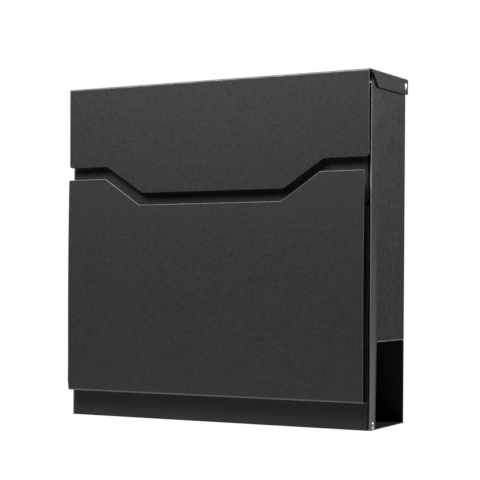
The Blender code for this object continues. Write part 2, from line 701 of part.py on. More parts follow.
def make_lock():
    """Lock under the flap: flanged barrel, its nut, the turning plug, the cam and the cam's screw."""
    seat = Y_FRONT - GAP
    barrel_rear = CAM_FRONT_Y - BARREL_SETBACK
    bore = PLUG_RADIUS + GAP
    centre = (0.0, 0.0, LOCK_Z)
    profile = [(BARREL_RADIUS, barrel_rear), (BARREL_RADIUS, seat), (BEZEL_RADIUS, seat),
               (BEZEL_RADIUS, seat - BEZEL_RIM), (BEZEL_TIP_RADIUS, seat - BEZEL_HEIGHT),
               (bore, seat - BEZEL_HEIGHT), (bore, barrel_rear)]
    finish(turned("lock_housing", profile, "Y", centre), "lock_chrome", None)
    nut_low = Y_FRONT + SHEET + GAP
    nut_high = nut_low + LOCK_NUT_HEIGHT
    make_hex_nut("lock_nut", centre, LOCK_NUT_RADIUS, BARREL_RADIUS + GAP, nut_low, nut_high, None)
    plug_front = seat - PLUG_HEIGHT
    plug_rear = CAM_FRONT_Y - GAP
    profile = [(0, plug_rear), (PLUG_RADIUS, plug_rear), (PLUG_RADIUS, plug_front + PLUG_CHAMFER),
               (PLUG_RADIUS - PLUG_CHAMFER, plug_front), (0, plug_front)]
    plug = turned("lock_plug", profile, "Y", centre)
    wide, tall = KEYWAY_HALF
    keyway = box("keyway", (-wide, plug_front - SHORT_MARGIN, LOCK_Z - tall),
                 (wide, plug_front + KEYWAY_DEPTH, LOCK_Z + tall))
    combine(plug, as_tool(keyway), "DIFFERENCE")
    bore_end = plug_rear - SCREW_BORE_DEPTH
    drill(plug, "screw_bore", SCREW_BORE_RADIUS, "Y", centre, bore_end, plug_rear + SHORT_MARGIN)
    finish(plug, "lock_brass", LOCK_JOINT)
    tip_x = CAM_REACH - CAM_TIP_RADIUS
    outline = arc((0, LOCK_Z), CAM_HUB_RADIUS, 90, 270, 10)
    outline += arc((tip_x, LOCK_Z - CAM_TIP_HALF), CAM_TIP_RADIUS, -90, 0, 4)
    outline += arc((tip_x, LOCK_Z + CAM_TIP_HALF), CAM_TIP_RADIUS, 0, 90, 4)
    cam = prism("lock_cam", outline, "Y", CAM_FRONT_Y, CAM_FRONT_Y + CAM_THICKNESS)
    cam_rear = CAM_FRONT_Y + CAM_THICKNESS
    cam_front = CAM_FRONT_Y - SHORT_MARGIN
    drill(cam, "cam_bore", SCREW_BORE_RADIUS, "Y", centre, cam_front, cam_rear + SHORT_MARGIN)
    finish(cam, "zinc_steel", LOCK_JOINT)
    head = CAM_FRONT_Y + CAM_THICKNESS + GAP
    head_top = head + SCREW_HEAD
    tip = plug_rear - SCREW_REACH
    profile = [(0, head_top), (SCREW_HEAD_TIP_RADIUS, head_top), (SCREW_HEAD_RADIUS, head + SCREW_HEAD_RIM),
               (SCREW_HEAD_RADIUS, head), (SCREW_RADIUS, head), (SCREW_RADIUS, tip), (0, tip)]
    finish(turned("cam_screw", profile, "Y", centre), "zinc_steel", LOCK_JOINT)


clear_scene()
PART = new_collection("wall_mailbox")
TOOLS = new_collection("cutters")
LID_JOINT = make_axis("lid_axis", LID_AXIS)
DOOR_JOINT = make_axis("door_axis", DOOR_AXIS)
LOCK_JOINT = make_axis("lock_axis", LOCK_AXIS)
make_back_panel()
make_side_panel("side_panel_left", -1)
make_side_panel("side_panel_right", 1)
make_floor()
make_partition()
make_header()
make_pads()
make_pivots()
make_lid()
make_buffers()
make_door_plate()
make_door_panel()
make_panel_fixings()
make_strike()
make_lock()
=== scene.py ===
import math

import bmesh
import bpy
import numpy as np
from bpy.props import FloatProperty, FloatVectorProperty, PointerProperty
from mathutils import Matrix, Vector


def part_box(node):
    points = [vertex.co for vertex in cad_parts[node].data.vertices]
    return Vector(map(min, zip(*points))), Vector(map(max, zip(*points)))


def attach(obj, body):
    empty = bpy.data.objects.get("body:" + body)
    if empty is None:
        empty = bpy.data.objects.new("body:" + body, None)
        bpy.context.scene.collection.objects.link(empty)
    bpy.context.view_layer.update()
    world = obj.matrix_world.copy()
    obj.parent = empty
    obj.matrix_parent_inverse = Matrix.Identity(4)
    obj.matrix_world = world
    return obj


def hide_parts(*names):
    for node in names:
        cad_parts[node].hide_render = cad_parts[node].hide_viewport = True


bl_info = {
    "name": "Wall Mailbox",
    "version": (1, 0, 0),
    "blender": (4, 5, 0),
    "location": "3D View > Sidebar > Mailbox",
    "description": "Sheet-steel wall mailbox with a hinged lid, a hinged door and a newspaper tunnel",
    "category": "Add Mesh",
}

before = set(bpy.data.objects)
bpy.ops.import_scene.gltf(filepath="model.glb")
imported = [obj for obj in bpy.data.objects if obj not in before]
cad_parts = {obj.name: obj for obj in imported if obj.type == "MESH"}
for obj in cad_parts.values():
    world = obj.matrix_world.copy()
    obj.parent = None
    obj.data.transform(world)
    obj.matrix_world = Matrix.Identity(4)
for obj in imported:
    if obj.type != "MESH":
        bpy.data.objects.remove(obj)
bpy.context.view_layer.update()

MM = 0.001
LEFT_RIGHT = (("left", -1.0), ("right", 1.0))


# ---------------------------------------------------------------- sizes from the frame

def low(node, axis):
    """Lowest coordinate of a CAD node along one axis, in millimetres."""
    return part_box(node)[0][axis] / MM


def high(node, axis):
    """Highest coordinate of a CAD node along one axis, in millimetres."""
    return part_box(node)[1][axis] / MM


def middle_of(node):
    """Middle of a CAD node's box across the depth, as (x, 0, z) in millimetres."""
    centre = (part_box(node)[0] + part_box(node)[1]) / 2 / MM
    return (centre.x, 0.0, centre.z)


X, Y, Z = 0, 1, 2
HALF_WIDTH = high("side_panel_right", X)
FRONT_Y = low("side_panel_right", Y)
REAR_Y = high("side_panel_right", Y)
PANEL_Y = low("door_panel", Y)
FLAP_Y = low("lid", Y)
LID_REAR_Y = high("lid", Y)
LID_REAR_Z = high("lid", Z)
HALF_SHEET = 0.5
BEND_RADIUS = 1.2
FINE = 0.6
HOLE_CLEAR = 4.0
LID_RISE = 3.0
LID_FRONT_Z = LID_REAR_Z - LID_RISE
LID_HALF_WIDTH = 180.3
LID_PIVOT = (0.0, REAR_Y - 7.3, 359.0)
LID_LOW_Z = low("lid", Z)
FLAP_STEP_RISE = 29.8
STEP_RADIUS = 5.0
FLAP_LEAN = 0.004
PANEL_STEP_DROP = 29.5
PANEL_SETBACK = 0.52
EAR_MIDDLE = 181.8
EAR_FRONT_Y = FRONT_Y + FINE
EAR_CORNER_Y = FRONT_Y + 15.1
EAR_LOW_Z = (361.2, 348.5, 350.9, 352.0)
PIVOT_BORE = 2.6
DOOR_PIVOT = (0.0, FRONT_Y + 8.7, 5.0)
DOOR_ROUND = 4.7
LOCK_Z = 262.0
LOCK_BORE = 9.6
HEM_DEPTH = 15.0
WALL_SHEET = 0.8
FOLD_SLANT = 1.5
FOLD_BACK = 0.8
FLANGE_WIDTH = 14.0
TUNNEL_TOP_Z = 89.0
STRIP_TOP = 19.2
STRIP_LOW = 16.8
NOTCH_Z = 351.0
NOTCH_DEPTH = 3.0
WALL_TOP_Z = 362.0
WALL_REAR_TOP_Z = 350.0
LUG_RADIUS = 6.0
STUD_X = 140.0
STUD_HEIGHTS = (55.0, 200.0)
STUD_BORE = 2.3
BUFFER_X = 150.0
BUFFER_Z = 300.0
MOUNT_X = 120.0
MOUNT_HEIGHTS = (130.0, 320.0)
MOUNT_BORE = 3.5
CATCH_RIVET_X = 10.0
CATCH_RIVET_Z = 205.0
CATCH_BORE = 1.8
PLATE_WIDER = 0.7
PLATE_CORNER = 0.6


# ---------------------------------------------------------------- curves and grids

def fold_line(corners, radius, steps=6):
    """Polyline through corners whose inner corners are arcs.

    At a corner with turn angle t the arc of radius r starts r*tan(t/2) before the corner, and its points
    are centre + r*(cos, sin) of an angle that runs evenly from the incoming normal to the outgoing one.
    """
    corners = np.asarray(corners, float)
    radii = np.broadcast_to(radius, len(corners)) if np.ndim(radius) == 0 else np.asarray(radius, float)
    pieces = [corners[:1]]
    for here, before, after, bend in zip(corners[1:-1], corners[:-2], corners[2:], radii[1:-1]):
        into = (here - before) / np.linalg.norm(here - before)
        out = (after - here) / np.linalg.norm(after - here)
        turn = math.atan2(into[0] * out[1] - into[1] * out[0], into @ out)
        if abs(turn) < 1e-6 or bend < 1e-6:
            pieces.append(here[None])
            continue
        side = math.copysign(1.0, turn)
        start = here - into * bend * math.tan(abs(turn) / 2)
        centre = start + side * bend * np.array([-into[1], into[0]])
        first = math.atan2(*(start - centre)[::-1])
        angles = first + turn * np.linspace(0, 1, steps + 1)
        pieces.append(centre + bend * np.stack([np.cos(angles), np.sin(angles)], 1))
    pieces.append(corners[-1:])
    return np.concatenate(pieces)


def refine(line, spacing):
    """Adds evenly spaced points so that no step of a polyline is longer than the spacing."""
    line = np.asarray(line, float)
    step = np.diff(line, axis=0)
    count = np.maximum(1, np.ceil(np.linalg.norm(step, axis=1) / spacing)).astype(int)
    owner = np.repeat(np.arange(len(step)), count)
    place = np.arange(count.sum()) - np.repeat(np.cumsum(count) - count, count)
    points = line[owner] + step[owner] * (place / count[owner])[:, None]
    return np.concatenate([points, line[-1:]])


def spread(stops, spacing):
    """Sorted coordinates through all stops with steps no longer than the spacing."""
    stops = np.unique(np.asarray(stops, float))
    return refine(stops[:, None], spacing)[:, 0]


def across_x(line, xs):
    """Grid swept along X: row i is point i of a (y, z) line and column j is xs[j]."""
    line = np.asarray(line, float)
    grid = np.empty((len(line), len(xs), 3))
    grid[:, :, 0] = xs[None, :]
    grid[:, :, 1:] = line[:, None, :]
    return grid


def ring_grid(profile, centre, axis, columns=64):
    """Surface of revolution: radius r and height h of each profile point, turned through a full circle.

    A point is centre + r*cos(a) and r*sin(a) across the axis and h along it.
    """
    profile = np.asarray(profile, float)
    angle = np.linspace(0, 2 * np.pi, columns, endpoint=False)
    radius, height = profile[:, 0, None], profile[:, 1, None]
    flat = (radius * np.cos(angle), radius * np.sin(angle), height + 0 * angle)
    grid = np.empty((len(profile), columns, 3))
    order = {"X": (1, 2, 0), "Y": (2, 0, 1), "Z": (0, 1, 2)}[axis]
    for source, target in enumerate(order):
        grid[:, :, target] = flat[source]
    return grid + np.asarray(centre, float)


def quads(rows, columns, mask=None, wrap=False, start=0):
    """Corner numbers of the faces of a grid, row by row, with a closed seam when it wraps."""
    index = start + np.arange(rows * columns).reshape(rows, columns)
    if wrap:
        index = np.concatenate([index, index[:, :1]], 1)
    faces = np.stack([index[:-1, :-1], index[:-1, 1:], index[1:, 1:], index[1:, :-1]], -1)
    if mask is not None:
        return faces[mask]
    return faces.reshape(-1, 4)


# ---------------------------------------------------------------- meshes

def mesh_object(name, points, faces, wear_and_highlight=None):
    """Puts points in millimetres and faces into a mesh object whose place is in its mesh."""
    mesh = bpy.data.meshes.new(name)
    mesh.from_pydata((np.asarray(points) * MM).tolist(), [], faces.tolist())
    # The point attribute holds thin paint and painted highlight: values that pale the paint along bends and
    # edges.
    if wear_and_highlight is not None:
        layer = mesh.attributes.new("wear_and_highlight", "FLOAT", "POINT")
        layer.data.foreach_set("value", np.asarray(wear_and_highlight, np.float32))
    shape = bpy.data.objects.new(name, mesh)
    bpy.context.scene.collection.objects.link(shape)
    return shape


def clean(shape, distance=2e-6, outward=False):
    """Merges the points that patches share, drops unused ones and settles which way the faces look."""
    work = bmesh.new()
    work.from_mesh(shape.data)
    bmesh.ops.remove_doubles(work, verts=work.verts, dist=distance)
    loose = [point for point in work.verts if not point.link_faces]
    bmesh.ops.delete(work, geom=loose, context="VERTS")
    bmesh.ops.recalc_face_normals(work, faces=work.faces)
    if outward and work.calc_volume(signed=True) < 0:
        bmesh.ops.reverse_faces(work, faces=work.faces)
    work.to_mesh(shape.data)
    work.free()
    shape.data.polygons.foreach_set("use_smooth", np.ones(len(shape.data.polygons), bool))


def join_patches(name, patches):
    """One surface from (grid, mask, wear and highlight) patches that meet point to point."""
    points, faces, wear_and_highlight = [], [], []
    start = 0
    for grid, mask, wear_highlight_share in patches:
        rows, columns = grid.shape[:2]
        points.append(grid.reshape(-1, 3))
        faces.append(quads(rows, columns, mask, start=start))
        wear_and_highlight.append(np.broadcast_to(np.asarray(wear_highlight_share, float), (rows, columns)).reshape(-1))
        start += rows * columns
    return mesh_object(name, np.concatenate(points), np.concatenate(faces), np.concatenate(wear_and_highlight))


def freeze(shape):
    """Turns a shape's modifiers into its mesh."""
    graph = bpy.context.evaluated_depsgraph_get()
    final = bpy.data.meshes.new_from_object(shape.evaluated_get(graph))
    shape.modifiers.clear()
    shape.data = final


def pierce(shape, cutters):
    """Cuts closed shapes out of a closed sheet and removes them."""
    for cutter in cutters:
        step = shape.modifiers.new("cut", "BOOLEAN")
        step.operation = "DIFFERENCE"
        step.solver = "EXACT"
        step.object = cutter
    freeze(shape)
    for cutter in cutters:
        bpy.data.objects.remove(cutter, do_unlink=True)


def bore(radius, axis, centre, first, last):
    """Closed cutting cylinder along an axis between two coordinates of that axis."""
    middle = np.array(centre, float)
    middle["XYZ".index(axis)] = 0.0
    profile = [(0.0, first), (radius, first), (radius, last), (0.0, last)]
    return closed_grid("bore", ring_grid(profile, middle, axis, 48))


def make_sheet(name, patches, thickness=None, cutters=()):
    """Sheet metal: the middle surface gets its thickness and its cut edges are rounded over."""
    settings = bpy.context.scene.mailbox_sheet
    shape = join_patches(name, patches)
    clean(shape)
    solid = shape.modifiers.new("thickness", "SOLIDIFY")
    solid.thickness = thickness * MM if thickness else settings.thickness
    solid.offset = 0.0
    solid.use_even_offset = True
    solid.use_quality_normals = True
    solid.material_offset_rim = 1
    shape.data.materials.append(None)
    shape.data.materials.append(None)
    if cutters:
        pierce(shape, cutters)
    edge = shape.modifiers.new("edge", "BEVEL")
    edge.width = settings.edge_radius
    edge.segments = 2
    edge.limit_method = "ANGLE"
    edge.angle_limit = math.radians(38)
    edge.use_clamp_overlap = False
    even = shape.modifiers.new("even_shading", "WEIGHTED_NORMAL")
    even.mode = "FACE_AREA"
    even.weight = 60
    freeze(shape)
    return shape


def closed_grid(name, grid):
    """Closed shape from a grid whose columns run round and whose end rows meet or lie on the axis."""
    rows, columns = grid.shape[:2]
    shape = mesh_object(name, grid.reshape(-1, 3), quads(rows, columns, wrap=True), np.zeros(rows * columns))
    clean(shape, outward=True)
    return shape


def make_turned(name, profile, centre, axis, columns=64):
    """Turned piece from a profile of (radius, height) points, closed at its poles and seam."""
    if profile[0][0] > 1e-6 and np.hypot(*(np.subtract(profile[0], profile[-1]))) > 1e-6:
        raise ValueError(name + ": the profile is neither closed nor on the axis")
    return closed_grid(name, ring_grid(profile, centre, axis, columns))


def settle(shape, body, nodes, materials):
    """Dresses a piece, lets it ride on its body and hides the CAD nodes that it stands for."""
    shape.data.materials.clear()
    for surface in materials:
        shape.data.materials.append(surface)
    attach(shape, body)
    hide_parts(*nodes)


# ---------------------------------------------------------------- shader groups

def new_group(name, inputs, outputs):
    """Empty shader group with named number sockets."""
    group = bpy.data.node_groups.new(name, "ShaderNodeTree")
    for label, default in inputs:
        socket = group.interface.new_socket(label, in_out="INPUT", socket_type="NodeSocketFloat")
        socket.default_value = default
    for label in outputs:
        group.interface.new_socket(label, in_out="OUTPUT", socket_type="NodeSocketFloat")
    return group


def node(tree, kind, values=None, **fields):
    """Adds a node, sets its fields and the values of its input sockets."""
    made = tree.nodes.new(kind)
    for field, value in fields.items():
        setattr(made, field, value)
    for socket, value in (values or {}).items():
        made.inputs[socket].default_value = value
    return made


def math_node(tree, operation, first, second):
    """Joins two sockets or numbers with one sum."""
    made = tree.nodes.new("ShaderNodeMath")
    made.operation = operation
    for slot_number, value in enumerate((first, second)):
        if isinstance(value, bpy.types.NodeSocket):
            tree.links.new(value, made.inputs[slot_number])
        else:
            made.inputs[slot_number].default_value = value
    return made.outputs[0]


def coat_grain_group():
    """Fine pebbled skin of baked powder paint: two sizes of noise, summed, plus a slow unevenness."""
    sockets = (("Size", 1.0), ("Amount", 1.0))
    group = new_group("coat_grain", sockets, ("Height", "Grain", "Mottle", "Speck"))
    start = group.nodes.new("NodeGroupInput")
    end = group.nodes.new("NodeGroupOutput")
    place = group.nodes.new("ShaderNodeTexCoord")
    scale = math_node(group, "DIVIDE", 430.0, start.outputs["Size"])
    fine = node(group, "ShaderNodeTexNoise", {"Detail": 4.0, "Roughness": 0.75})
    group.links.new(place.outputs["Object"], fine.inputs["Vector"])
    group.links.new(scale, fine.inputs["Scale"])
    pebble = node(group, "ShaderNodeTexVoronoi", {"Randomness": 1.0}, feature="SMOOTH_F1")
    group.links.new(place.outputs["Object"], pebble.inputs["Vector"])
    group.links.new(math_node(group, "DIVIDE", 620.0, start.outputs["Size"]), pebble.inputs["Scale"])
    bumps = math_node(group, "MULTIPLY", pebble.outputs["Distance"], 0.5)
    total = math_node(group, "ADD", fine.outputs["Fac"], bumps)
    group.links.new(math_node(group, "MULTIPLY", total, start.outputs["Amount"]), end.inputs["Height"])
    group.links.new(fine.outputs["Fac"], end.inputs["Grain"])
    slow = node(group, "ShaderNodeTexNoise", {"Scale": 30.0, "Detail": 6.0, "Roughness": 0.66})
    group.links.new(place.outputs["Object"], slow.inputs["Vector"])
    group.links.new(slow.outputs["Fac"], end.inputs["Mottle"])
    dots = node(group, "ShaderNodeTexVoronoi", {"Scale": 210.0, "Randomness": 1.0})
    group.links.new(place.outputs["Object"], dots.inputs["Vector"])
    near = node(group, "ShaderNodeMapRange",
                {"From Min": 0.03, "From Max": 0.12, "To Min": 1.0, "To Max": 0.0})
    group.links.new(dots.outputs["Distance"], near.inputs["Value"])
    group.links.new(near.outputs["Result"], end.inputs["Speck"])
    return group


def edge_wear_and_highlight_group():
    """Mask of thin paint and painted highlight along bends and edges: the point attribute of wear and
    highlight, broken up by noise.
    """
    group = new_group("edge_wear_and_highlight", (("Amount", 1.0), ("Break Size", 400.0)), ("Mask",))
    start = group.nodes.new("NodeGroupInput")
    end = group.nodes.new("NodeGroupOutput")
    wear_highlight_share = node(group, "ShaderNodeAttribute", attribute_name="wear_and_highlight")
    place = group.nodes.new("ShaderNodeTexCoord")
    breakup = node(group, "ShaderNodeTexNoise", {"Detail": 3.0, "Roughness": 0.6})
    group.links.new(place.outputs["Object"], breakup.inputs["Vector"])
    group.links.new(start.outputs["Break Size"], breakup.inputs["Scale"])
    uneven = node(group, "ShaderNodeMapRange",
                  {"From Min": 0.3, "From Max": 0.7, "To Min": 0.55, "To Max": 1.0})
    group.links.new(breakup.outputs["Fac"], uneven.inputs["Value"])
    mask = math_node(group, "MULTIPLY", wear_highlight_share.outputs["Fac"], uneven.outputs["Result"])
    group.links.new(math_node(group, "MULTIPLY", mask, start.outputs["Amount"]), end.inputs["Mask"])
    return group


def metal_marks_group():
    """Fine scratches and handling marks of bare metal: stretched noise and soft blotches."""
    group = new_group("metal_marks", (("Scale", 900.0), ("Stretch", 0.08)), ("Height", "Blotch"))
    start = group.nodes.new("NodeGroupInput")
    end = group.nodes.new("NodeGroupOutput")
    place = group.nodes.new("ShaderNodeTexCoord")
    factors = node(group, "ShaderNodeCombineXYZ", {"X": 1.0, "Z": 1.0})
    group.links.new(start.outputs["Stretch"], factors.inputs["Y"])
    stretched = node(group, "ShaderNodeVectorMath", operation="MULTIPLY")
    group.links.new(place.outputs["Object"], stretched.inputs[0])
    group.links.new(factors.outputs[0], stretched.inputs[1])
    lines = node(group, "ShaderNodeTexNoise", {"Detail": 3.0, "Roughness": 0.65})
    group.links.new(stretched.outputs[0], lines.inputs["Vector"])
    group.links.new(start.outputs["Scale"], lines.inputs["Scale"])
    group.links.new(lines.outputs["Fac"], end.inputs["Height"])
    blotch = node(group, "ShaderNodeTexNoise", {"Scale": 160.0, "Detail": 4.0, "Roughness": 0.6})
    group.links.new(place.outputs["Object"], blotch.inputs["Vector"])
    group.links.new(blotch.outputs["Fac"], end.inputs["Blotch"])
    return group


def blend_colours(tree, mask, first, second):
    """Colour that runs from a tone, or a socket's colour, to another tone by a mask."""
    ramp = node(tree, "ShaderNodeMix", data_type="RGBA")
    if isinstance(first, bpy.types.NodeSocket):
        tree.links.new(first, ramp.inputs["A"])
    else:
        ramp.inputs["A"].default_value = (*first, 1.0)
    ramp.inputs["B"].default_value = (*second, 1.0)
    tree.links.new(mask, ramp.inputs["Factor"])
    return ramp.outputs["Result"]


def scaled(tone, factor):
    """A tone made lighter or darker by a factor."""
    return tuple(value * factor for value in tone)


def noise_range(tree, source, least, most):
    """Maps a noise value's usual span to a span of its own."""
    made = node(tree, "ShaderNodeMapRange",
                {"From Min": 0.3, "From Max": 0.7, "To Min": least, "To Max": most})
    tree.links.new(source, made.inputs["Value"])
    return made.outputs["Result"]


def new_surface(name):
    """Material with an empty Principled surface."""
    surface = bpy.data.materials.new(name)
    surface.use_nodes = True
    return surface, surface.node_tree, surface.node_tree.nodes["Principled BSDF"]


def add_bump(tree, height, shader, strength, distance):
    """Feeds a height into the shader's normal."""
    bump = node(tree, "ShaderNodeBump", {"Strength": strength, "Distance": distance * MM})
    tree.links.new(height, bump.inputs["Height"])
    tree.links.new(bump.outputs["Normal"], shader.inputs["Normal"])


def powder_paint(name, tone, rough, thin_paint_highlight_tone, grain=1.0, cloud=0.2, fleck_size=0.4, contrast=0.45):
    """Satin powder paint with a pebbled skin, slow mottling, pale specks, and thin paint with painted
    highlights on its bends.
    """
    surface, tree, shader = new_surface(name)
    coat = node(tree, "ShaderNodeGroup", node_tree=bpy.data.node_groups["coat_grain"])
    coat.inputs["Amount"].default_value = grain
    wear_and_highlight = node(tree, "ShaderNodeGroup", node_tree=bpy.data.node_groups["edge_wear_and_highlight"])
    uneven = noise_range(tree, coat.outputs["Mottle"], 0.5 - cloud, 0.5 + cloud)
    fleck = noise_range(tree, coat.outputs["Grain"], -fleck_size, fleck_size)
    share = math_node(tree, "ADD", uneven, fleck)
    base = blend_colours(tree, share, scaled(tone, 1 - contrast), scaled(tone, 1 + contrast))
    speck = math_node(tree, "MULTIPLY", coat.outputs["Speck"], 0.3)
    base = blend_colours(tree, speck, base, scaled(tone, 2.4))
    # Painted highlight: the mask blends the paint towards the pale tone on bends and edges, partly thin paint
    # and partly the bright lines that lit bends show.
    base = blend_colours(tree, wear_and_highlight.outputs["Mask"], base, thin_paint_highlight_tone)
    tree.links.new(base, shader.inputs["Base Color"])
    gloss = noise_range(tree, coat.outputs["Mottle"], rough + cloud * 0.3, rough - cloud * 0.3)
    polish = math_node(tree, "MULTIPLY", wear_and_highlight.outputs["Mask"], -0.3)
    sandy = math_node(tree, "MULTIPLY", fleck, 0.1)
    rough_sum = math_node(tree, "ADD", gloss, math_node(tree, "ADD", polish, sandy))
    tree.links.new(rough_sum, shader.inputs["Roughness"])
    add_bump(tree, coat.outputs["Height"], shader, 0.5, 0.1 + 0.12 * cloud)
    shader.inputs["Specular IOR Level"].default_value = 0.5
    return surface


def bare_metal(name, tone, rough, dulling=0.12, strength=0.15):
    """Metal with brushed scratches, blotches and uneven gloss."""
    surface, tree, shader = new_surface(name)
    marks = node(tree, "ShaderNodeGroup", node_tree=bpy.data.node_groups["metal_marks"])
    uneven = noise_range(tree, marks.outputs["Blotch"], 0.0, 1.0)
    base = blend_colours(tree, uneven, scaled(tone, 1 - dulling), tone)
    tree.links.new(base, shader.inputs["Base Color"])
    gloss = noise_range(tree, marks.outputs["Blotch"], rough * 0.8, rough * 1.3)
    tree.links.new(gloss, shader.inputs["Roughness"])
    shader.inputs["Metallic"].default_value = 1.0
    add_bump(tree, marks.outputs["Height"], shader, strength, 0.02)
    return surface


def moulded(name, tone, rough, grain=0.5):
    """Rubber or nylon with a faint moulded grain and uneven tone."""
    surface, tree, shader = new_surface(name)
    coat = node(tree, "ShaderNodeGroup", node_tree=bpy.data.node_groups["coat_grain"])
    coat.inputs["Size"].default_value = 1.6
    coat.inputs["Amount"].default_value = grain
    uneven = noise_range(tree, coat.outputs["Mottle"], 0.0, 1.0)
    base = blend_colours(tree, uneven, scaled(tone, 0.85), scaled(tone, 1.1))
    tree.links.new(base, shader.inputs["Base Color"])
    gloss = noise_range(tree, coat.outputs["Mottle"], rough - 0.06, rough + 0.06)
    tree.links.new(gloss, shader.inputs["Roughness"])
    add_bump(tree, coat.outputs["Height"], shader, 0.3, 0.05)
    return surface


def sheet_paint(faces="black_powder_paint"):
    """The two paints of a sheet: its faces and its cut edges."""
    return [bpy.data.materials[faces], bpy.data.materials["cut_edge_paint_with_highlight"]]


# ---------------------------------------------------------------- settings

class MailboxSheetSettings(bpy.types.PropertyGroup):
    """Sizes and paint of the sheet metal."""

    thickness: FloatProperty(
        name="Sheet thickness", description="Thickness of the steel sheet", default=0.001,
        min=0.0006, max=0.002, unit="LENGTH")
    edge_radius: FloatProperty(
        name="Edge rounding", description="Rounding of the painted sheet edges", default=0.00022,
        min=0.00005, max=0.0004, unit="LENGTH")
    panel_crown: FloatProperty(
        name="Panel crown", description="How far the raised front bulges at mid height", default=0.0016,
        min=0.0, max=0.003, unit="LENGTH")
    paint: FloatVectorProperty(
        name="Paint", description="Colour of the powder paint", default=(0.0368, 0.0338, 0.0370),
        size=3, min=0.0, max=1.0, subtype="COLOR")
    # The pale tone serves both thin paint and painted highlights on bends, folds and edges.
    thin_paint_and_highlight: FloatVectorProperty(
        name="Thin paint", description="Colour where the paint is thin on edges and bends",
        default=(0.62, 0.62, 0.63), size=3, min=0.0, max=1.0, subtype="COLOR")
    gloss: FloatProperty(
        name="Roughness", description="Roughness of the powder paint", default=0.52,
        min=0.1, max=1.0, subtype="FACTOR")


class MailboxStageSettings(bpy.types.PropertyGroup):
    """Floor, lights and camera."""

    floor: FloatVectorProperty(
        name="Floor", description="Colour of the floor", default=(0.86, 0.86, 0.86),
        size=3, min=0.0, max=1.0, subtype="COLOR")
    key_power: FloatProperty(
        name="Key light", description="Power of the light at the upper left", default=8.2,
        min=0.0, max=500.0, unit="POWER")
    top_power: FloatProperty(
        name="Top light", description="Power of the light high in front", default=10.0,
        min=0.0, max=500.0, unit="POWER")
    back_power: FloatProperty(
        name="Back light", description="Power of the light behind the box", default=24.0,
        min=0.0, max=500.0, unit="POWER")
    side_power: FloatProperty(
        name="Side light", description="Power of the light at the right that grazes the side wall",
        default=9.6, min=0.0, max=500.0, unit="POWER")
    left_power: FloatProperty(
        name="Left light", description="Power of the light that grazes the left side wall",
        default=9.6, min=0.0, max=500.0, unit="POWER")
    surround: FloatProperty(
        name="Surround", description="Brightness of the white surround on the object", default=0.012,
        min=0.0, max=5.0)
    lens: FloatProperty(
        name="Lens", description="Focal length for a 36 mm sensor", default=102.17,
        min=20.0, max=300.0, unit="CAMERA")


# ---------------------------------------------------------------- operators

class MAILBOX_OT_finishes(bpy.types.Operator):
    """Make the shader groups and the materials of paint, metal, rubber and nylon"""

    bl_idname = "mailbox.finishes"
    bl_label = "Finishes"

    def execute(self, context):
        """Builds each group once and each material with its own values."""
        coat_grain_group()
        edge_wear_and_highlight_group()
        metal_marks_group()
        sheet = context.scene.mailbox_sheet
        paint = tuple(sheet.paint)
        # Pale tone for thin paint and for the painted highlights on bends and edges.
        thin_and_highlight_tone = tuple(sheet.thin_paint_and_highlight)
        # Painted shade: the inner paint is 0.4 of the paint's tone, darkening the inside of the box where
        # little light reaches.
        inner = scaled(paint, 0.4)
        # Cut edges: the paint is mixed a quarter of the way to the pale tone, partly thin paint and partly a
        # painted highlight along the sheet's edges.
        edge = tuple(0.75 * a + 0.25 * b for a, b in zip(paint, thin_and_highlight_tone))
        powder_paint("black_powder_paint", paint, sheet.gloss, thin_and_highlight_tone, 1.0, 0.1, 0.42)
        powder_paint("mottled_powder_paint", paint, sheet.gloss, thin_and_highlight_tone, 1.0, 0.75, 0.7, 0.6)
        powder_paint("inner_paint_with_painted_shade", inner, sheet.gloss + 0.15, thin_and_highlight_tone, 1.0, 0.2, 0.4)
        powder_paint("cut_edge_paint_with_highlight", edge, sheet.gloss - 0.08, thin_and_highlight_tone, 0.6)
        bare_metal("bright_aluminium", (0.94, 0.94, 0.93), 0.38, 0.06)
        bare_metal("zinc_plate", (0.60, 0.61, 0.60), 0.34)
        bare_metal("lock_chrome_plate", (0.74, 0.75, 0.76), 0.12, 0.05, 0.05)
        bare_metal("plug_brass", (0.72, 0.55, 0.27), 0.28)
        moulded("black_rubber_pad", (0.022, 0.022, 0.022), 0.82, 0.8)
        moulded("natural_nylon", (0.72, 0.70, 0.65), 0.5, 0.3)
        return {"FINISHED"}


def lid_top(y):
    """Middle height of the lid's sheet at a depth: it rises evenly towards the wall."""
    share = (y - FLAP_Y) / (LID_REAR_Y - FLAP_Y)
    return LID_FRONT_Z - HALF_SHEET + LID_RISE * share


def stepped_edge(inner, outer, half, middle_z, side_z, corner, away, steps):
    """Mirrored edge as (x, z): level in the middle, sloped to the side height, level, and a rounded corner.

    The corner turns towards the sheet: up on a lower edge and down on an upper one, by the sign of away.
    """
    right = [(0.0, middle_z), (inner, middle_z), (outer, side_z), (half, side_z), (half, side_z + away)]
    line = fold_line(right, (0, STEP_RADIUS, STEP_RADIUS, corner, 0), steps)[:-1]
    line = line[np.concatenate([[True], np.diff(line[:, 0]) > 0.02])]
    return refine(np.concatenate([line[:0:-1] * [-1, 1], line]), 6.0)


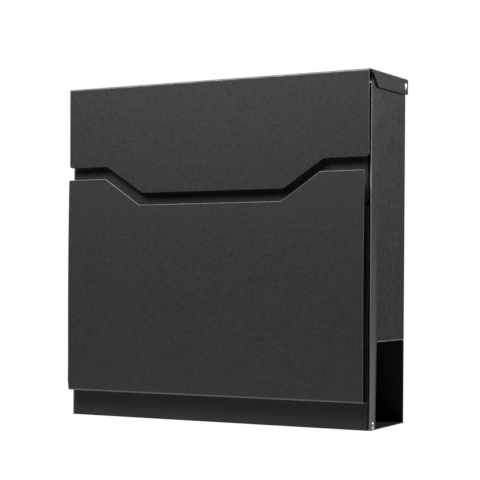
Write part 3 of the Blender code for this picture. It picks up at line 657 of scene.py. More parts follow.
class MAILBOX_OT_lid(bpy.types.Operator):
    """Make the lid: top sheet, stepped flap and two ears"""

    bl_idname = "mailbox.lid"
    bl_label = "Lid"

    def execute(self, context):
        """Joins the top, the flap and both ears along their shared lines and drills the pivot holes."""
        depth = spread((FLAP_Y + 3.5, EAR_FRONT_Y, EAR_FRONT_Y + FINE, EAR_CORNER_Y, LID_REAR_Y - 2.0,
                        LID_REAR_Y - FINE, LID_REAR_Y), 6.0)
        patches = self.top_and_flap(depth)
        holes = []
        for _, side in LEFT_RIGHT:
            patches += self.ear(side, depth)
            middle = side * EAR_MIDDLE
            holes.append(bore(PIVOT_BORE, "X", LID_PIVOT, middle - HOLE_CLEAR, middle + HOLE_CLEAR))
        shape = make_sheet("lid_sheet", patches, cutters=holes)
        settle(shape, "lid", ["lid"], sheet_paint())
        return {"FINISHED"}

    def top_and_flap(self, depth):
        """The top is a grid over x and y; the flap runs from its bend to an edge height that depends on x."""
        edge = stepped_edge(85.5, 131.0, LID_HALF_WIDTH, LID_LOW_Z, LID_LOW_Z + FLAP_STEP_RISE, 3.5, 8.0, 7)
        xs, edge_z = edge[:, 0], edge[:, 1]
        face_y = FLAP_Y + HALF_SHEET
        bend = fold_line([(EAR_FRONT_Y, lid_top(EAR_FRONT_Y)), (face_y, lid_top(FLAP_Y)),
                          (face_y, LID_FRONT_Z - 20)], 1.5, 6)[1:-1]
        top = np.stack([depth[::-1], lid_top(depth[::-1])], 1)
        plate = across_x(np.concatenate([top, bend]), xs)
        # Painted highlight: the front bend and the flap's side edges get values that pale them like lit
        # edges.
        plate_wear_and_highlight = np.zeros(len(plate))
        plate_wear_and_highlight[len(top):] = 0.3
        fall = np.concatenate([[0.0, 0.006], np.linspace(0.08, 0.992, 14), [1.0]])
        start_z = bend[-1, 1]
        flap = np.empty((len(fall), len(xs), 3))
        flap[:, :, 0] = xs
        flap[:, :, 2] = start_z + (edge_z - start_z)[None, :] * fall[:, None]
        flap[:, :, 1] = face_y + FLAP_LEAN * (start_z - flap[:, :, 2])
        flap_wear_and_highlight = np.where(np.abs(xs) > LID_HALF_WIDTH - 0.1, 0.5, 0.0)
        return [(plate, None, plate_wear_and_highlight[:, None]), (flap, None, flap_wear_and_highlight[None, :])]

    def ear(self, side, depth):
        """An ear bends down from the top's side by a quarter circle to a lower edge that depends on y."""
        reach = EAR_MIDDLE - LID_HALF_WIDTH
        quarter = np.linspace(0, np.pi / 2, 6)
        arc_rows = np.empty((len(quarter), len(depth), 3))
        arc_rows[:, :, 0] = side * (LID_HALF_WIDTH + reach * np.sin(quarter))[:, None]
        arc_rows[:, :, 1] = depth
        arc_rows[:, :, 2] = lid_top(depth)[None, :] - reach * (1 - np.cos(quarter))[:, None]
        low_z = np.interp(depth, (EAR_FRONT_Y, EAR_CORNER_Y, LID_REAR_Y - 2.0, LID_REAR_Y), EAR_LOW_Z)
        begin = lid_top(depth) - reach
        share = np.array([0.0, 0.12, 0.3, 0.5, 0.7, 0.88, 1.0])
        ear_rows = np.empty((len(share), len(depth), 3))
        ear_rows[:, :, 0] = side * EAR_MIDDLE
        ear_rows[:, :, 1] = depth
        ear_rows[:, :, 2] = begin + (low_z - begin)[None, :] * share[:, None]
        # The ear's bend gets a painted highlight that peaks mid-arc.
        return [(arc_rows, None, 0.27 * np.sin(2 * quarter)[:, None]), (ear_rows, None, 0.0)]


class MAILBOX_OT_buffers(bpy.types.Operator):
    """Make the rubber buffers inside the flap and the pads on the back"""

    bl_idname = "mailbox.buffers"
    bl_label = "Rubber buffers and pads"

    def execute(self, context):
        """Turned discs with a rounded rim and a shallow dished face."""
        rubber = [bpy.data.materials["black_rubber_pad"]]
        for name, side in LEFT_RIGHT:
            label = "lid_buffer_" + name
            first, last = low(label, Y), high(label, Y)
            line = fold_line([(0, last - 0.4), (3.4, last - 0.4), (3.8, last), (5.0, last), (6.0, first),
                              (0, first)], (0, 0.3, 0.3, 0.8, 0.3, 0), 4)
            shape = make_turned(label + "_rubber", line, (side * BUFFER_X, 0, BUFFER_Z), "Y")
            settle(shape, "lid", [label], rubber)
        for number in range(1, 5):
            label = "spacer_pad_%d" % number
            first, last = low(label, Y), high(label, Y)
            line = fold_line([(0, last - 0.5), (3.6, last - 0.5), (4.1, last), (8.0, last), (8.0, first),
                              (0, first)], (0, 0.3, 0.3, 1.0, 0.8, 0), 5)
            shape = make_turned(label + "_rubber", line, middle_of(label), "Y")
            settle(shape, "housing", [label], rubber)
        return {"FINISHED"}


class MAILBOX_OT_side_walls(bpy.types.Operator):
    """Make the two side walls with their hemmed front margin, rear flange and tunnel opening"""

    bl_idname = "mailbox.side_walls"
    bl_label = "Side walls"

    def execute(self, context):
        """A plan profile in (x, y) is carried up z: hem, half-circle fold, wall, quarter-circle bend, flange.

        Cells outside the wall's outline are left out, and the opening's front edge leans by a factor of z.
        The lug round the lid's pivot is a rise of the top edge by the circle sqrt(r^2 - (y - pivot)^2).
        """
        outer, bend = HALF_WIDTH - WALL_SHEET / 2, WALL_SHEET * 0.52
        hem_x = outer - 2 * bend
        start_y = FRONT_Y + FOLD_BACK + WALL_SHEET / 2 + bend
        half_turn = np.linspace(-np.pi / 2, np.pi / 2, 13)
        fold = np.stack([outer - bend + bend * np.sin(half_turn),
                         start_y - bend * np.cos(half_turn) + FOLD_SLANT * (1 - np.sin(half_turn)) / 2], 1)
        lug_end = LID_PIVOT[1] + LUG_RADIUS
        open_y = FRONT_Y + STRIP_TOP
        flange_y = (open_y + 0.6, REAR_Y - 2.6)
        lug = LID_PIVOT[1] + LUG_RADIUS * np.cos(np.radians(np.linspace(150, 0, 13)))
        ys = spread(np.concatenate([(start_y, FRONT_Y + NOTCH_DEPTH, FRONT_Y + NOTCH_DEPTH + FINE,
                                     open_y - FINE, open_y, flange_y[0], flange_y[1]), lug]), 6.0)
        ys = ys[ys <= lug_end + 1e-6]
        hem_ys = spread((start_y + FOLD_SLANT, FRONT_Y + HEM_DEPTH - FINE, FRONT_Y + HEM_DEPTH), 6.0)[::-1]
        inner_x, flange_mid = HALF_WIDTH - FLANGE_WIDTH, REAR_Y - HALF_SHEET
        rear = fold_line([(outer, lug_end), (outer, flange_mid), (inner_x, flange_mid)], 0.7, 6)
        hem = np.stack([np.full(len(hem_ys), hem_x), hem_ys], 1)
        wall = np.stack([np.full(len(ys), outer), ys], 1)
        plan = np.concatenate([hem, fold[1:-1], wall, rear[1:]])
        first_wall = len(hem_ys) + len(fold) - 2
        last_wall = first_wall + len(ys) - 1
        flange_z = TUNNEL_TOP_Z + 1.6
        zs = spread((0.0, FINE, TUNNEL_TOP_Z - FINE, TUNNEL_TOP_Z, flange_z, WALL_REAR_TOP_Z - FINE,
                     WALL_REAR_TOP_Z, NOTCH_Z, NOTCH_Z + FINE, WALL_TOP_Z - FINE, WALL_TOP_Z), 9.0)
        grid = np.empty((len(zs), len(plan), 3))
        grid[:, :, 0] = plan[None, :, 0]
        grid[:, :, 1] = plan[None, :, 1]
        grid[:, :, 2] = zs[:, None]
        reach = open_y - start_y
        lean = 1 - (STRIP_TOP - STRIP_LOW) / reach * np.clip(1 - zs / TUNNEL_TOP_Z, 0, 1)
        on_strip = (np.arange(len(plan)) >= first_wall) & (plan[:, 1] <= open_y + 0.01)
        offset = (plan[:, 1] - start_y)[None, :] * lean[:, None]
        grid[:, on_strip, 1] = (start_y + offset)[:, on_strip]
        rise = np.sqrt(np.clip(LUG_RADIUS ** 2 - (plan[:, 1] - LID_PIVOT[1]) ** 2, 0, None))
        top_z = np.maximum(WALL_TOP_Z, LID_PIVOT[2] + rise)
        raised = np.clip((zs - NOTCH_Z) / (WALL_TOP_Z - NOTCH_Z), 0, 1)
        walls = slice(first_wall, last_wall + 1)
        grid[:, walls, 2] += raised[:, None] * (top_z - WALL_TOP_Z)[None, walls]
        mid_z = (zs[:-1] + zs[1:]) / 2
        mid_y = (plan[:-1, 1] + plan[1:, 1]) / 2
        column = np.arange(len(plan) - 1)
        hem_part = column < first_wall
        wall_part = (column >= first_wall) & (column < last_wall)
        below_notch = mid_z[:, None] < NOTCH_Z
        keep = hem_part[None, :] & below_notch
        keep |= wall_part[None, :] & (mid_y[None, :] < open_y) & below_notch
        keep |= wall_part[None, :] & (mid_z[:, None] > flange_z) & below_notch
        between = (mid_z[:, None] > TUNNEL_TOP_Z) & (mid_z[:, None] < flange_z)
        keep |= wall_part[None, :] & between & (mid_y[None, :] > flange_y[1])
        keep |= wall_part[None, :] & ~below_notch & (mid_y[None, :] > FRONT_Y + NOTCH_DEPTH)
        behind = column >= last_wall
        keep |= behind[None, :] & (mid_z[:, None] > TUNNEL_TOP_Z) & (mid_z[:, None] < WALL_REAR_TOP_Z)
        # Painted light on the side wall: the hem margin grows paler towards the bottom, standing in for light
        # from below, and the front fold grows paler towards the top as a painted highlight; the rear bend
        # gets a steady painted highlight.
        wear_and_highlight = np.zeros(grid.shape[:2])
        margin = on_strip & (plan[:, 1] < FRONT_Y + HEM_DEPTH + 0.01)
        wear_and_highlight[:, margin] = (0.02 + 0.34 * np.clip(1 - zs / 230, 0, 1))[:, None]
        wear_and_highlight[:, len(hem_ys):first_wall] = (0.42 + 0.58 * np.clip(zs / 160 - 0.5, 0, 1))[:, None]
        wear_and_highlight[:, first_wall] = wear_and_highlight[:, first_wall - 1]
        wear_and_highlight[:, last_wall + 1:-1] = 0.3
        shelf_ys = ys[(ys >= flange_y[0] - 1e-6) & (ys <= flange_y[1] + 1e-6)]
        shelf_z = TUNNEL_TOP_Z + HALF_SHEET
        shelf_line = fold_line([(outer, flange_z + 1), (outer, shelf_z), (inner_x, shelf_z)], 1.1, 6)[1:]
        shelf = np.empty((len(shelf_line), len(shelf_ys), 3))
        shelf[:, :, 0] = shelf_line[:, 0, None]
        shelf[:, :, 1] = shelf_ys
        shelf[:, :, 2] = shelf_line[:, 1, None]
        # The shelf's bend gets a painted highlight.
        shelf_wear_and_highlight = np.zeros(len(shelf_line))
        shelf_wear_and_highlight[1:-1] = 0.5
        for name, side in LEFT_RIGHT:
            mirror = np.array([side, 1.0, 1.0])
            holes = [bore(PIVOT_BORE, "X", place, side * HALF_WIDTH - 6, side * HALF_WIDTH + 6)
                     for place in (LID_PIVOT, DOOR_PIVOT)]
            patches = [(grid * mirror, keep, wear_and_highlight), (shelf * mirror, None, shelf_wear_and_highlight[:, None])]
            shape = make_sheet("side_wall_" + name, patches, WALL_SHEET, holes)
            paints = sheet_paint("mottled_powder_paint")
            settle(shape, "housing", ["side_panel_" + name], paints)
        return {"FINISHED"}


class MAILBOX_OT_back(bpy.types.Operator):
    """Make the back sheet with its wall holes and doubled edges beside the tunnel"""

    bl_idname = "mailbox.back"
    bl_label = "Back"

    def execute(self, context):
        """A line in (y, z) swept along x: straight up, then an arc round the lid's pivot.

        Beside the tunnel each edge folds back by a half circle into a hem.
        """
        middle = high("back_panel", Y) - 1.5
        lip = high("back_panel", Z) - HALF_SHEET - LID_PIVOT[2]
        edge = HALF_WIDTH - 1.3
        hem_top = TUNNEL_TOP_Z - 0.3
        turn = np.linspace(-np.pi / 2, np.pi / 2, 9)
        fold = np.stack([HALF_WIDTH - 1.05 + 0.55 * np.cos(turn), middle + 0.55 + 0.55 * np.sin(turn)], 1)
        xs = spread((-edge, edge, -edge + FINE, edge - FINE, 0), 12.0)
        begin = math.acos((middle - LID_PIVOT[1]) / lip)
        curl = np.linspace(begin, math.pi / 2, 12)
        zs = spread((0, FINE, hem_top, LID_PIVOT[2]), 12.0)
        upright = np.stack([np.full(len(zs), middle), zs], 1)
        arc = np.array(LID_PIVOT[1:]) + lip * np.stack([np.cos(curl), np.sin(curl)], 1)
        patches = [(across_x(np.concatenate([upright, arc]), xs), None, 0.0)]
        hem_zs = zs[zs <= hem_top + 1e-6]
        for _, side in LEFT_RIGHT:
            line = np.concatenate([[(edge, middle)], fold, [(HALF_WIDTH - FLANGE_WIDTH, middle + 1.1)]])
            hem = np.empty((len(hem_zs), len(line), 3))
            hem[:, :, 0] = side * line[None, :, 0]
            hem[:, :, 1] = line[None, :, 1]
            hem[:, :, 2] = hem_zs[:, None]
            patches.append((hem, None, 0.0))
        holes = [bore(MOUNT_BORE, "Y", (side * MOUNT_X, 0, z), middle - HOLE_CLEAR, middle + HOLE_CLEAR)
                 for _, side in LEFT_RIGHT for z in MOUNT_HEIGHTS]
        shape = make_sheet("back_sheet", patches, cutters=holes)
        # The back sheet takes the darker inner paint, a painted shade for the inside of the box.
        settle(shape, "housing", ["back_panel"], sheet_paint("inner_paint_with_painted_shade"))
        return {"FINISHED"}


class MAILBOX_OT_tunnel(bpy.types.Operator):
    """Make the tunnel's floor and the shelf over it"""

    bl_idname = "mailbox.tunnel"
    bl_label = "Tunnel floor and shelf"

    def execute(self, context):
        """Makes both folded sheets."""
        self.floor()
        self.shelf()
        return {"FINISHED"}

    def floor(self):
        """A folded line in (y, z) swept along x; its outer cells are kept only beside the opening."""
        front, rear = low("floor_panel", Y) + HALF_SHEET, high("floor_panel", Y)
        fold = fold_line([(rear, HALF_SHEET), (front, HALF_SHEET), (front, high("floor_panel", Z))],
                         BEND_RADIUS, 6)
        wing = FRONT_Y + STRIP_LOW + 0.3
        level = spread((rear, rear - FINE, wing, wing - FINE, front + BEND_RADIUS), 10.0)[::-1]
        level = np.stack([level, np.full(len(level), HALF_SHEET)], 1)
        line = np.concatenate([level, fold[2:]])
        half, inner = HALF_WIDTH, HALF_WIDTH - 6.5
        xs = spread((-half, FINE - half, -inner, 0, inner, half - FINE, half), 12.0)
        mid_x = np.abs((xs[:-1] + xs[1:]) / 2)
        mid_y = (line[:-1, 0] + line[1:, 0]) / 2
        keep = (mid_x[None, :] < inner) | (mid_y[:, None] > wing)
        shape = make_sheet("tunnel_floor_sheet", [(across_x(line, xs), keep, 0.0)])
        settle(shape, "housing", ["floor_panel"], sheet_paint())

    def shelf(self):
        """A line in (y, z) swept along x: up the back, level over the tunnel, down the front."""
        front, rear = low("partition", Y) + HALF_SHEET, high("partition", Y) - HALF_SHEET
        top, foot = high("partition", Z), low("partition", Z)
        level = TUNNEL_TOP_Z + 1.8
        line = fold_line([(rear, top), (rear, level), (front, level), (front, foot)], 1.3, 6)
        half = high("partition", X)
        xs = spread((-half, FINE - half, half - FINE, half), 12.0)
        shape = make_sheet("tunnel_shelf_sheet", [(across_x(refine(line, 8.0), xs), None, 0.0)])
        # The shelf takes the darker inner paint, a painted shade for the inside of the tunnel.
        settle(shape, "housing", ["partition"], sheet_paint("inner_paint_with_painted_shade"))


def top_bend(face, top_z):
    """Quarter circle in (y, z) from a plate's level top return down to its face."""
    corner = np.linspace(0, np.pi / 2, 6)
    back, down = 1 - np.sin(corner), 1 - np.cos(corner)
    return np.stack([face + BEND_RADIUS * back, top_z - BEND_RADIUS * down], 1)


def side_return(grid_z, half, face_y, rear_of, side, radius):
    """Patch that bends back from a plate's side: a quarter circle, then a flat run to a depth set by z."""
    quarter = np.linspace(0, np.pi / 2, 6)
    share = np.array([0.0, 0.08, 0.35, 0.65, 0.93, 1.0])
    start_y = face_y + radius
    arc_x = half - HALF_SHEET - radius + radius * np.sin(quarter)
    arc_y = face_y + radius * (1 - np.cos(quarter))
    patch = np.empty((len(grid_z), len(quarter) + len(share) - 1, 3))
    patch[:, :, 2] = grid_z[:, None]
    patch[:, :len(quarter), 0] = side * arc_x
    patch[:, :len(quarter), 1] = arc_y
    patch[:, len(quarter):, 0] = side * (half - HALF_SHEET)
    patch[:, len(quarter):, 1] = start_y + (rear_of - start_y)[:, None] * share[1:]
    return patch


class MAILBOX_OT_header(bpy.types.Operator):
    """Make the fixed plate behind the flap"""

    bl_idname = "mailbox.header"
    bl_label = "Header plate"

    def execute(self, context):
        """A folded line in (y, z) swept along x, and two side returns that share the face's edge points."""
        half = high("header_plate", X)
        face = FRONT_Y + HALF_SHEET
        low_z, top_z = low("header_plate", Z) + HALF_SHEET, high("header_plate", Z) - HALF_SHEET
        first, last = low_z + BEND_RADIUS, top_z - BEND_RADIUS
        face_z = spread((first, first + FINE, last - FINE, last), 8.0)
        top_arc = top_bend(face, top_z)
        low_arc = top_arc[::-1] * [1, -1] + [0, top_z + low_z]
        flat_part = np.stack([np.full(len(face_z) - 2, face), face_z[-2:0:-1]], 1)
        line = np.concatenate([[(face + 11, top_z), (face + 11 - FINE, top_z)], top_arc, flat_part, low_arc,
                               [(face + 9 - FINE, low_z), (face + 9, low_z)]])
        flat = half - HALF_SHEET - BEND_RADIUS
        xs = spread((-flat, -flat + FINE, 0, flat - FINE, flat), 8.0)
        patches = [(across_x(line, xs), None, 0.0)]
        rear = np.full(len(face_z), high("header_plate", Y))
        for _, side in LEFT_RIGHT:
            patches.append((side_return(face_z, half, face, rear, side, BEND_RADIUS), None, 0.0))
        hole = bore(LOCK_BORE, "Y", (0, 0, LOCK_Z), face - HOLE_CLEAR, face + HOLE_CLEAR)
        shape = make_sheet("header_sheet", patches, cutters=[hole])
        settle(shape, "housing", ["header_plate"], sheet_paint())
        return {"FINISHED"}


class MAILBOX_OT_door_plate(bpy.types.Operator):
    """Make the door's inner plate with its top return and side flanges"""

    bl_idname = "mailbox.door_plate"
    bl_label = "Door plate"

    def execute(self, context):
        """As the header plate, with flanges whose lower end follows a circle about the door's pivot."""
        half = high("door_plate", X) + PLATE_WIDER
        face = FRONT_Y + HALF_SHEET
        low_z, top_z = low("door_plate", Z), high("door_plate", Z) - HALF_SHEET
        flange_top = top_z - 2.0
        round_z = DOOR_PIVOT[2] - DOOR_ROUND * np.cos(np.radians(np.linspace(12, 90, 7)))
        stops = np.concatenate([(low_z, flange_top - FINE, flange_top, top_z - BEND_RADIUS), round_z])
        face_z = spread(stops, 9.0)
        flat_part = np.stack([np.full(len(face_z) - 1, face), face_z[-2::-1]], 1)
        line = np.concatenate([[(FRONT_Y + 10, top_z), (FRONT_Y + 10 - FINE, top_z)],
                               top_bend(face, top_z), flat_part])
        flat = half - HALF_SHEET - PLATE_CORNER
        xs = spread((-flat, -flat + FINE, 0, flat - FINE, flat), 8.0)
        patches = [(across_x(line, xs), None, 0.0)]
        flange_z = face_z[face_z <= flange_top + 1e-6]
        down = np.clip(DOOR_PIVOT[2] - flange_z, 0, DOOR_ROUND)
        rear = DOOR_PIVOT[1] + np.sqrt(np.maximum(DOOR_ROUND ** 2 - down ** 2, 0.3))
        front_cut, rear_cut = face - HOLE_CLEAR, face + HOLE_CLEAR
        holes = []
        for _, side in LEFT_RIGHT:
            patches.append((side_return(flange_z, half, face, rear, side, PLATE_CORNER), None, 0.0))
            edge = side * half
            holes.append(bore(PIVOT_BORE, "X", DOOR_PIVOT, edge - HOLE_CLEAR, edge + HOLE_CLEAR))
            holes.append(bore(CATCH_BORE, "Y", (side * CATCH_RIVET_X, 0, CATCH_RIVET_Z), front_cut, rear_cut))
            holes += [bore(STUD_BORE, "Y", (side * STUD_X, 0, z), front_cut, rear_cut) for z in STUD_HEIGHTS]
        shape = make_sheet("door_plate_sheet", patches, cutters=holes)
        settle(shape, "door", ["door_plate"], sheet_paint())
        return {"FINISHED"}


def crown(z, amount):
    """Set-back of the raised front: nothing at mid height, the whole amount at its top and bottom edge."""
    foot, head = low("door_panel", Z), high("door_panel", Z)
    return amount * (1 - np.sin(np.pi * np.clip((z - foot) / (head - foot), 0, 1)))


class MAILBOX_OT_door_panel(bpy.types.Operator):
    """Make the raised front of the door with its stepped top edge and bottom return"""

    bl_idname = "mailbox.door_panel"
    bl_label = "Raised front"

    def execute(self, context):
        """Rows run from the bottom bend to a top edge that depends on x; depth adds a sine-shaped crown."""
        amount = context.scene.mailbox_sheet.panel_crown / MM
        half = high("door_panel", X)
        foot, side_z = low("door_panel", Z), high("door_panel", Z)
        edge = stepped_edge(85.7, 129.4, half, side_z - PANEL_STEP_DROP, side_z, 1.6, -8.0, 6)
        xs, edge_z = edge[:, 0], edge[:, 1]
        base_y = PANEL_Y + PANEL_SETBACK + amount
        back, foot_z = FRONT_Y - 0.3, foot + HALF_SHEET
        bend = fold_line([(back, foot_z), (base_y, foot_z), (base_y, foot + 20)], 1.4, 6)
        bend = np.concatenate([bend[:1], bend[:1] - [FINE, 0], bend[1:-1]])
        tail = across_x(bend, xs)
        share = np.append(np.linspace(0, 1, 27), 1)
        face = np.empty((len(share), len(xs), 3))
        face[:, :, 0] = xs
        start = bend[-1, 1]
        face[:, :, 2] = start + (edge_z - FINE - start)[None, :] * share[:, None]
        face[-1, :, 2] = edge_z
        near_foot = crown(start, amount) * (1 - share[:, None]) ** 8
        face[:, :, 1] = base_y - amount + crown(face[:, :, 2], amount) - near_foot
        face[0, :, 1] = base_y
        # Painted highlight: the bottom bend, the side edges and most of all the top edge get values that pale
        # them like lit edges.
        wear_and_highlight = np.zeros(len(bend))
        wear_and_highlight[3:-1] = 0.22
        rim_wear_and_highlight = np.tile(np.where(np.abs(xs) > half - 0.1, 0.25, 0.0), (len(share), 1))
        rim_wear_and_highlight[-1] = 0.8
        shape = make_sheet("raised_front_sheet", [(tail, None, wear_and_highlight[:, None]), (face, None, rim_wear_and_highlight)])
        settle(shape, "door", ["door_panel"], sheet_paint())
        return {"FINISHED"}


def rivet_profile(head_radius, head, shank, tail, tail_radius, first, last):
    """Half section of a set rivet: a dome with a flat crown, a short rim, the shank and a bulged tail."""
    steps = np.linspace(0.25, 1.0, 8)
    turn = steps * np.pi / 2
    dome = np.stack([head_radius * np.sin(turn), first + 0.25 + (head - 0.25) * np.cos(turn)], 1)
    top = [(0.0, dome[0, 1] + 0.04), (head_radius * 0.2, dome[0, 1] + 0.03)]
    rim = [(head_radius, first + 0.08), (head_radius - 0.08, first), (shank, first), (shank, last)]
    angle = np.linspace(0, np.pi / 2, 7)
    bulge = np.stack([tail_radius * np.cos(angle) ** 0.8, last - tail * np.sin(angle)], 1)
    return np.concatenate([top, dome, rim, bulge[:-1], [(0.0, last - tail)]])


class MAILBOX_OT_pivots(bpy.types.Operator):
    """Make the rivets of lid and door and the washers under the lid's ears"""

    bl_idname = "mailbox.pivots"
    bl_label = "Pivot rivets and washers"

    def execute(self, context):
        """Turned profiles, mirrored by the sign of x."""
        bright = [bpy.data.materials["bright_aluminium"]]
        nylon = [bpy.data.materials["natural_nylon"]]
        for name, side in LEFT_RIGHT:
            rivets = (("lid_rivet_", LID_PIVOT, EAR_MIDDLE + 0.8, HALF_WIDTH - 1.3),
                      ("door_rivet_", DOOR_PIVOT, HALF_WIDTH + 0.3, 175.9))
            for kind, pivot, head_x, tail_x in rivets:
                profile = rivet_profile(3.85, 1.45, 2.4, 1.4, 3.6, head_x, tail_x) * [1, side]
                shape = make_turned(kind + name + "_bright", profile, pivot, "X")
                settle(shape, "housing", [kind + name], bright)
            inner, outer = HALF_WIDTH + 0.3, EAR_MIDDLE - 0.8
            ring = fold_line([(4, inner), (5.5, inner), (5.5, outer), (2.6, outer), (2.6, inner), (4, inner)],
                             (0, 0.2, 0.2, 0.15, 0.15, 0), 3) * [1, side]
            shape = make_turned("lid_washer_" + name + "_ring", ring, LID_PIVOT, "X")
            settle(shape, "housing", ["lid_washer_" + name], nylon)
        return {"FINISHED"}


def threaded(name, radius, depth, pitch, first, last, centre, columns=48):
    """Threaded rod along Y.

    The radius is r minus d times a triangle wave of (height/pitch - angle/turn), faded out at both ends,
    where the rod is chamfered to a smaller circle and closed on its axis.
    """
    rows = int((last - first) / pitch * 8)
    height = np.linspace(first, last, rows)
    angle = np.linspace(0, 2 * np.pi, columns, endpoint=False)
    phase = height[:, None] / pitch - angle[None, :] / (2 * np.pi)
    ridge = np.abs((phase % 1.0) * 2 - 1)
    fade = np.clip(np.minimum(height - first, last - height) / pitch, 0, 1)[:, None]
    r = radius - depth * ridge * fade - 0.35 * (1 - fade)
    r = np.concatenate([np.zeros((1, columns)), r, np.zeros((1, columns))])
    h = np.concatenate([[first], height, [last]])
    grid = np.empty((len(h), columns, 3))
    grid[:, :, 0] = centre[0] + r * np.cos(angle)
    grid[:, :, 1] = h[:, None]
    grid[:, :, 2] = centre[2] + r * np.sin(angle)
    shape = closed_grid(name, grid)
    return shape


def hex_nut(name, centre, across, bore_radius, first, last, columns=72):
    """Six-sided nut along Y.

    Side radius at an angle is the hexagon's a/cos(angle from a flat's middle), held under a cone that
    starts at a on each face and reaches the corners a little further in.
    """
    angle = np.linspace(0, 2 * np.pi, columns, endpoint=False)
    wedge = np.pi / 3
    side = across / np.cos((angle + wedge / 2) % wedge - wedge / 2)
    chamfer = across * 0.16
    rows = [(bore_radius, first + 0.3), (bore_radius + 0.3, first), (across * 0.96, first)]
    heights = np.array([0.0, 0.35, 0.7, 1.0, 1.4])
    lower = [np.minimum(side, across * 0.985 + h * 1.8) for h in heights * chamfer / 1.4]
    grid_r = [np.full(columns, row[0]) for row in rows] + lower
    grid_h = [row[1] for row in rows] + list(first + 0.02 + heights * chamfer / 1.4)
    grid_r += lower[::-1] + [np.full(columns, row[0]) for row in rows[::-1]]
    grid_h += list(last - 0.02 - heights[::-1] * chamfer / 1.4)
    grid_h += [last - (row[1] - first) for row in rows[::-1]]
    grid_r.append(grid_r[0])
    grid_h.append(grid_h[0])
    r, h = np.array(grid_r), np.array(grid_h)
    grid = np.stack([centre[0] + r * np.cos(angle), np.repeat(h[:, None], columns, 1),
                     centre[2] + r * np.sin(angle)], -1)
    shape = closed_grid(name, grid)
    edge = shape.modifiers.new("edge", "BEVEL")
    edge.width = 0.08 * MM
    edge.segments = 2
    edge.limit_method = "ANGLE"
    edge.angle_limit = math.radians(25)
    edge.harden_normals = True
    freeze(shape)
    return shape


def join_shapes(name, shapes):
    """Several closed shapes as one piece."""
    work = bmesh.new()
    for shape in shapes:
        work.from_mesh(shape.data)
    mesh = bpy.data.meshes.new(name)
    work.to_mesh(mesh)
    work.free()
    for shape in shapes:
        bpy.data.objects.remove(shape, do_unlink=True)
    whole = bpy.data.objects.new(name, mesh)
    bpy.context.scene.collection.objects.link(whole)
    return whole


class MAILBOX_OT_panel_fixings(bpy.types.Operator):
    """Make the studs, spacer tubes and nuts that carry the raised front"""

    bl_idname = "mailbox.panel_fixings"
    bl_label = "Panel fixings"

    def execute(self, context):
        """Threaded studs with a welded foot, turned tubes and chamfered nuts at the four fixing points."""
        zinc = [bpy.data.materials["zinc_plate"]]
        nylon = [bpy.data.materials["natural_nylon"]]
        for number in range(1, 5):
            stud, tube, nut = ("panel_%s_%d" % (kind, number) for kind in ("stud", "spacer", "nut"))
            place = middle_of(stud)
            foot = low(stud, Y)
            rod = threaded(stud + "_thread", 2.0, 0.25, 0.7, foot + 0.4, high(stud, Y), place)
            disc = fold_line([(0, foot + 0.8), (4.0, foot + 0.8), (4.0, foot), (0, foot)],
                             (0, 0.25, 0.1, 0), 3)
            flange = make_turned(stud + "_foot", disc, place, "Y", 48)
            settle(join_shapes(stud + "_zinc", [rod, flange]), "door", [stud], zinc)
            first, last = low(tube, Y), high(tube, Y)
            inner, outer = STUD_BORE, 4.5
            ring = fold_line([(3.5, last), (outer, last), (outer, first), (inner, first), (inner, last),
                              (3.5, last)], (0, 0.3, 0.3, 0.3, 0.3, 0), 4)
            settle(make_turned(tube + "_tube", ring, place, "Y", 48), "door", [tube], nylon)
            shape = hex_nut(nut + "_hex", place, 3.4, STUD_BORE, low(nut, Y), high(nut, Y))
            settle(shape, "door", [nut], zinc)
        return {"FINISHED"}


class MAILBOX_OT_strike(bpy.types.Operator):
    """Make the catch on the door and its rivets"""

    bl_idname = "mailbox.strike"
    bl_label = "Catch"

    def execute(self, context):
        """A folded line swept along x whose corners are cut back by a width that depends on the row."""
        sheet = 1.5
        tab = low("strike_bracket", Y) + sheet / 2
        upstand = high("strike_bracket", Y) - sheet / 2
        foot, head = low("strike_bracket", Z), high("strike_bracket", Z)
        line = refine(fold_line([(tab, foot), (tab, 216.0), (upstand, 216.0), (upstand, head)], 1.6, 6), 3.0)
        run = np.concatenate([[0], np.cumsum(np.linalg.norm(np.diff(line, axis=0), axis=1))])
        ends = np.minimum(run, run[-1] - run)
        half = 18.0 - 2.5 * (1 - np.sqrt(np.clip(1 - (1 - ends / 2.5) ** 2, 0, 1))) * (ends < 2.5)
        share = spread((-1, -0.96, 0, 0.96, 1), 0.15)
        grid = across_x(line, share)
        grid[:, :, 0] *= half[:, None]
        holes = [bore(CATCH_BORE, "Y", (side * CATCH_RIVET_X, 0, CATCH_RIVET_Z), tab - 3, tab + 3)
                 for _, side in LEFT_RIGHT]
        shape = make_sheet("catch_sheet", [(grid, None, 0.0)], sheet, holes)
        zinc = bpy.data.materials["zinc_plate"]
        settle(shape, "door", ["strike_bracket"], [zinc, zinc])
        for number, side in ((1, -1), (2, 1)):
            label = "strike_rivet_%d" % number
            head_y = low(label, Y) + 1.0
            profile = rivet_profile(3.0, 1.0, 1.5, 1.15, 2.9, -head_y, -high(label, Y) + 1.2) * [1, -1]
            shape = make_turned(label + "_bright", profile, (side * CATCH_RIVET_X, 0, CATCH_RIVET_Z), "Y", 48)
            settle(shape, "door", [label], [bpy.data.materials["bright_aluminium"]])
        return {"FINISHED"}


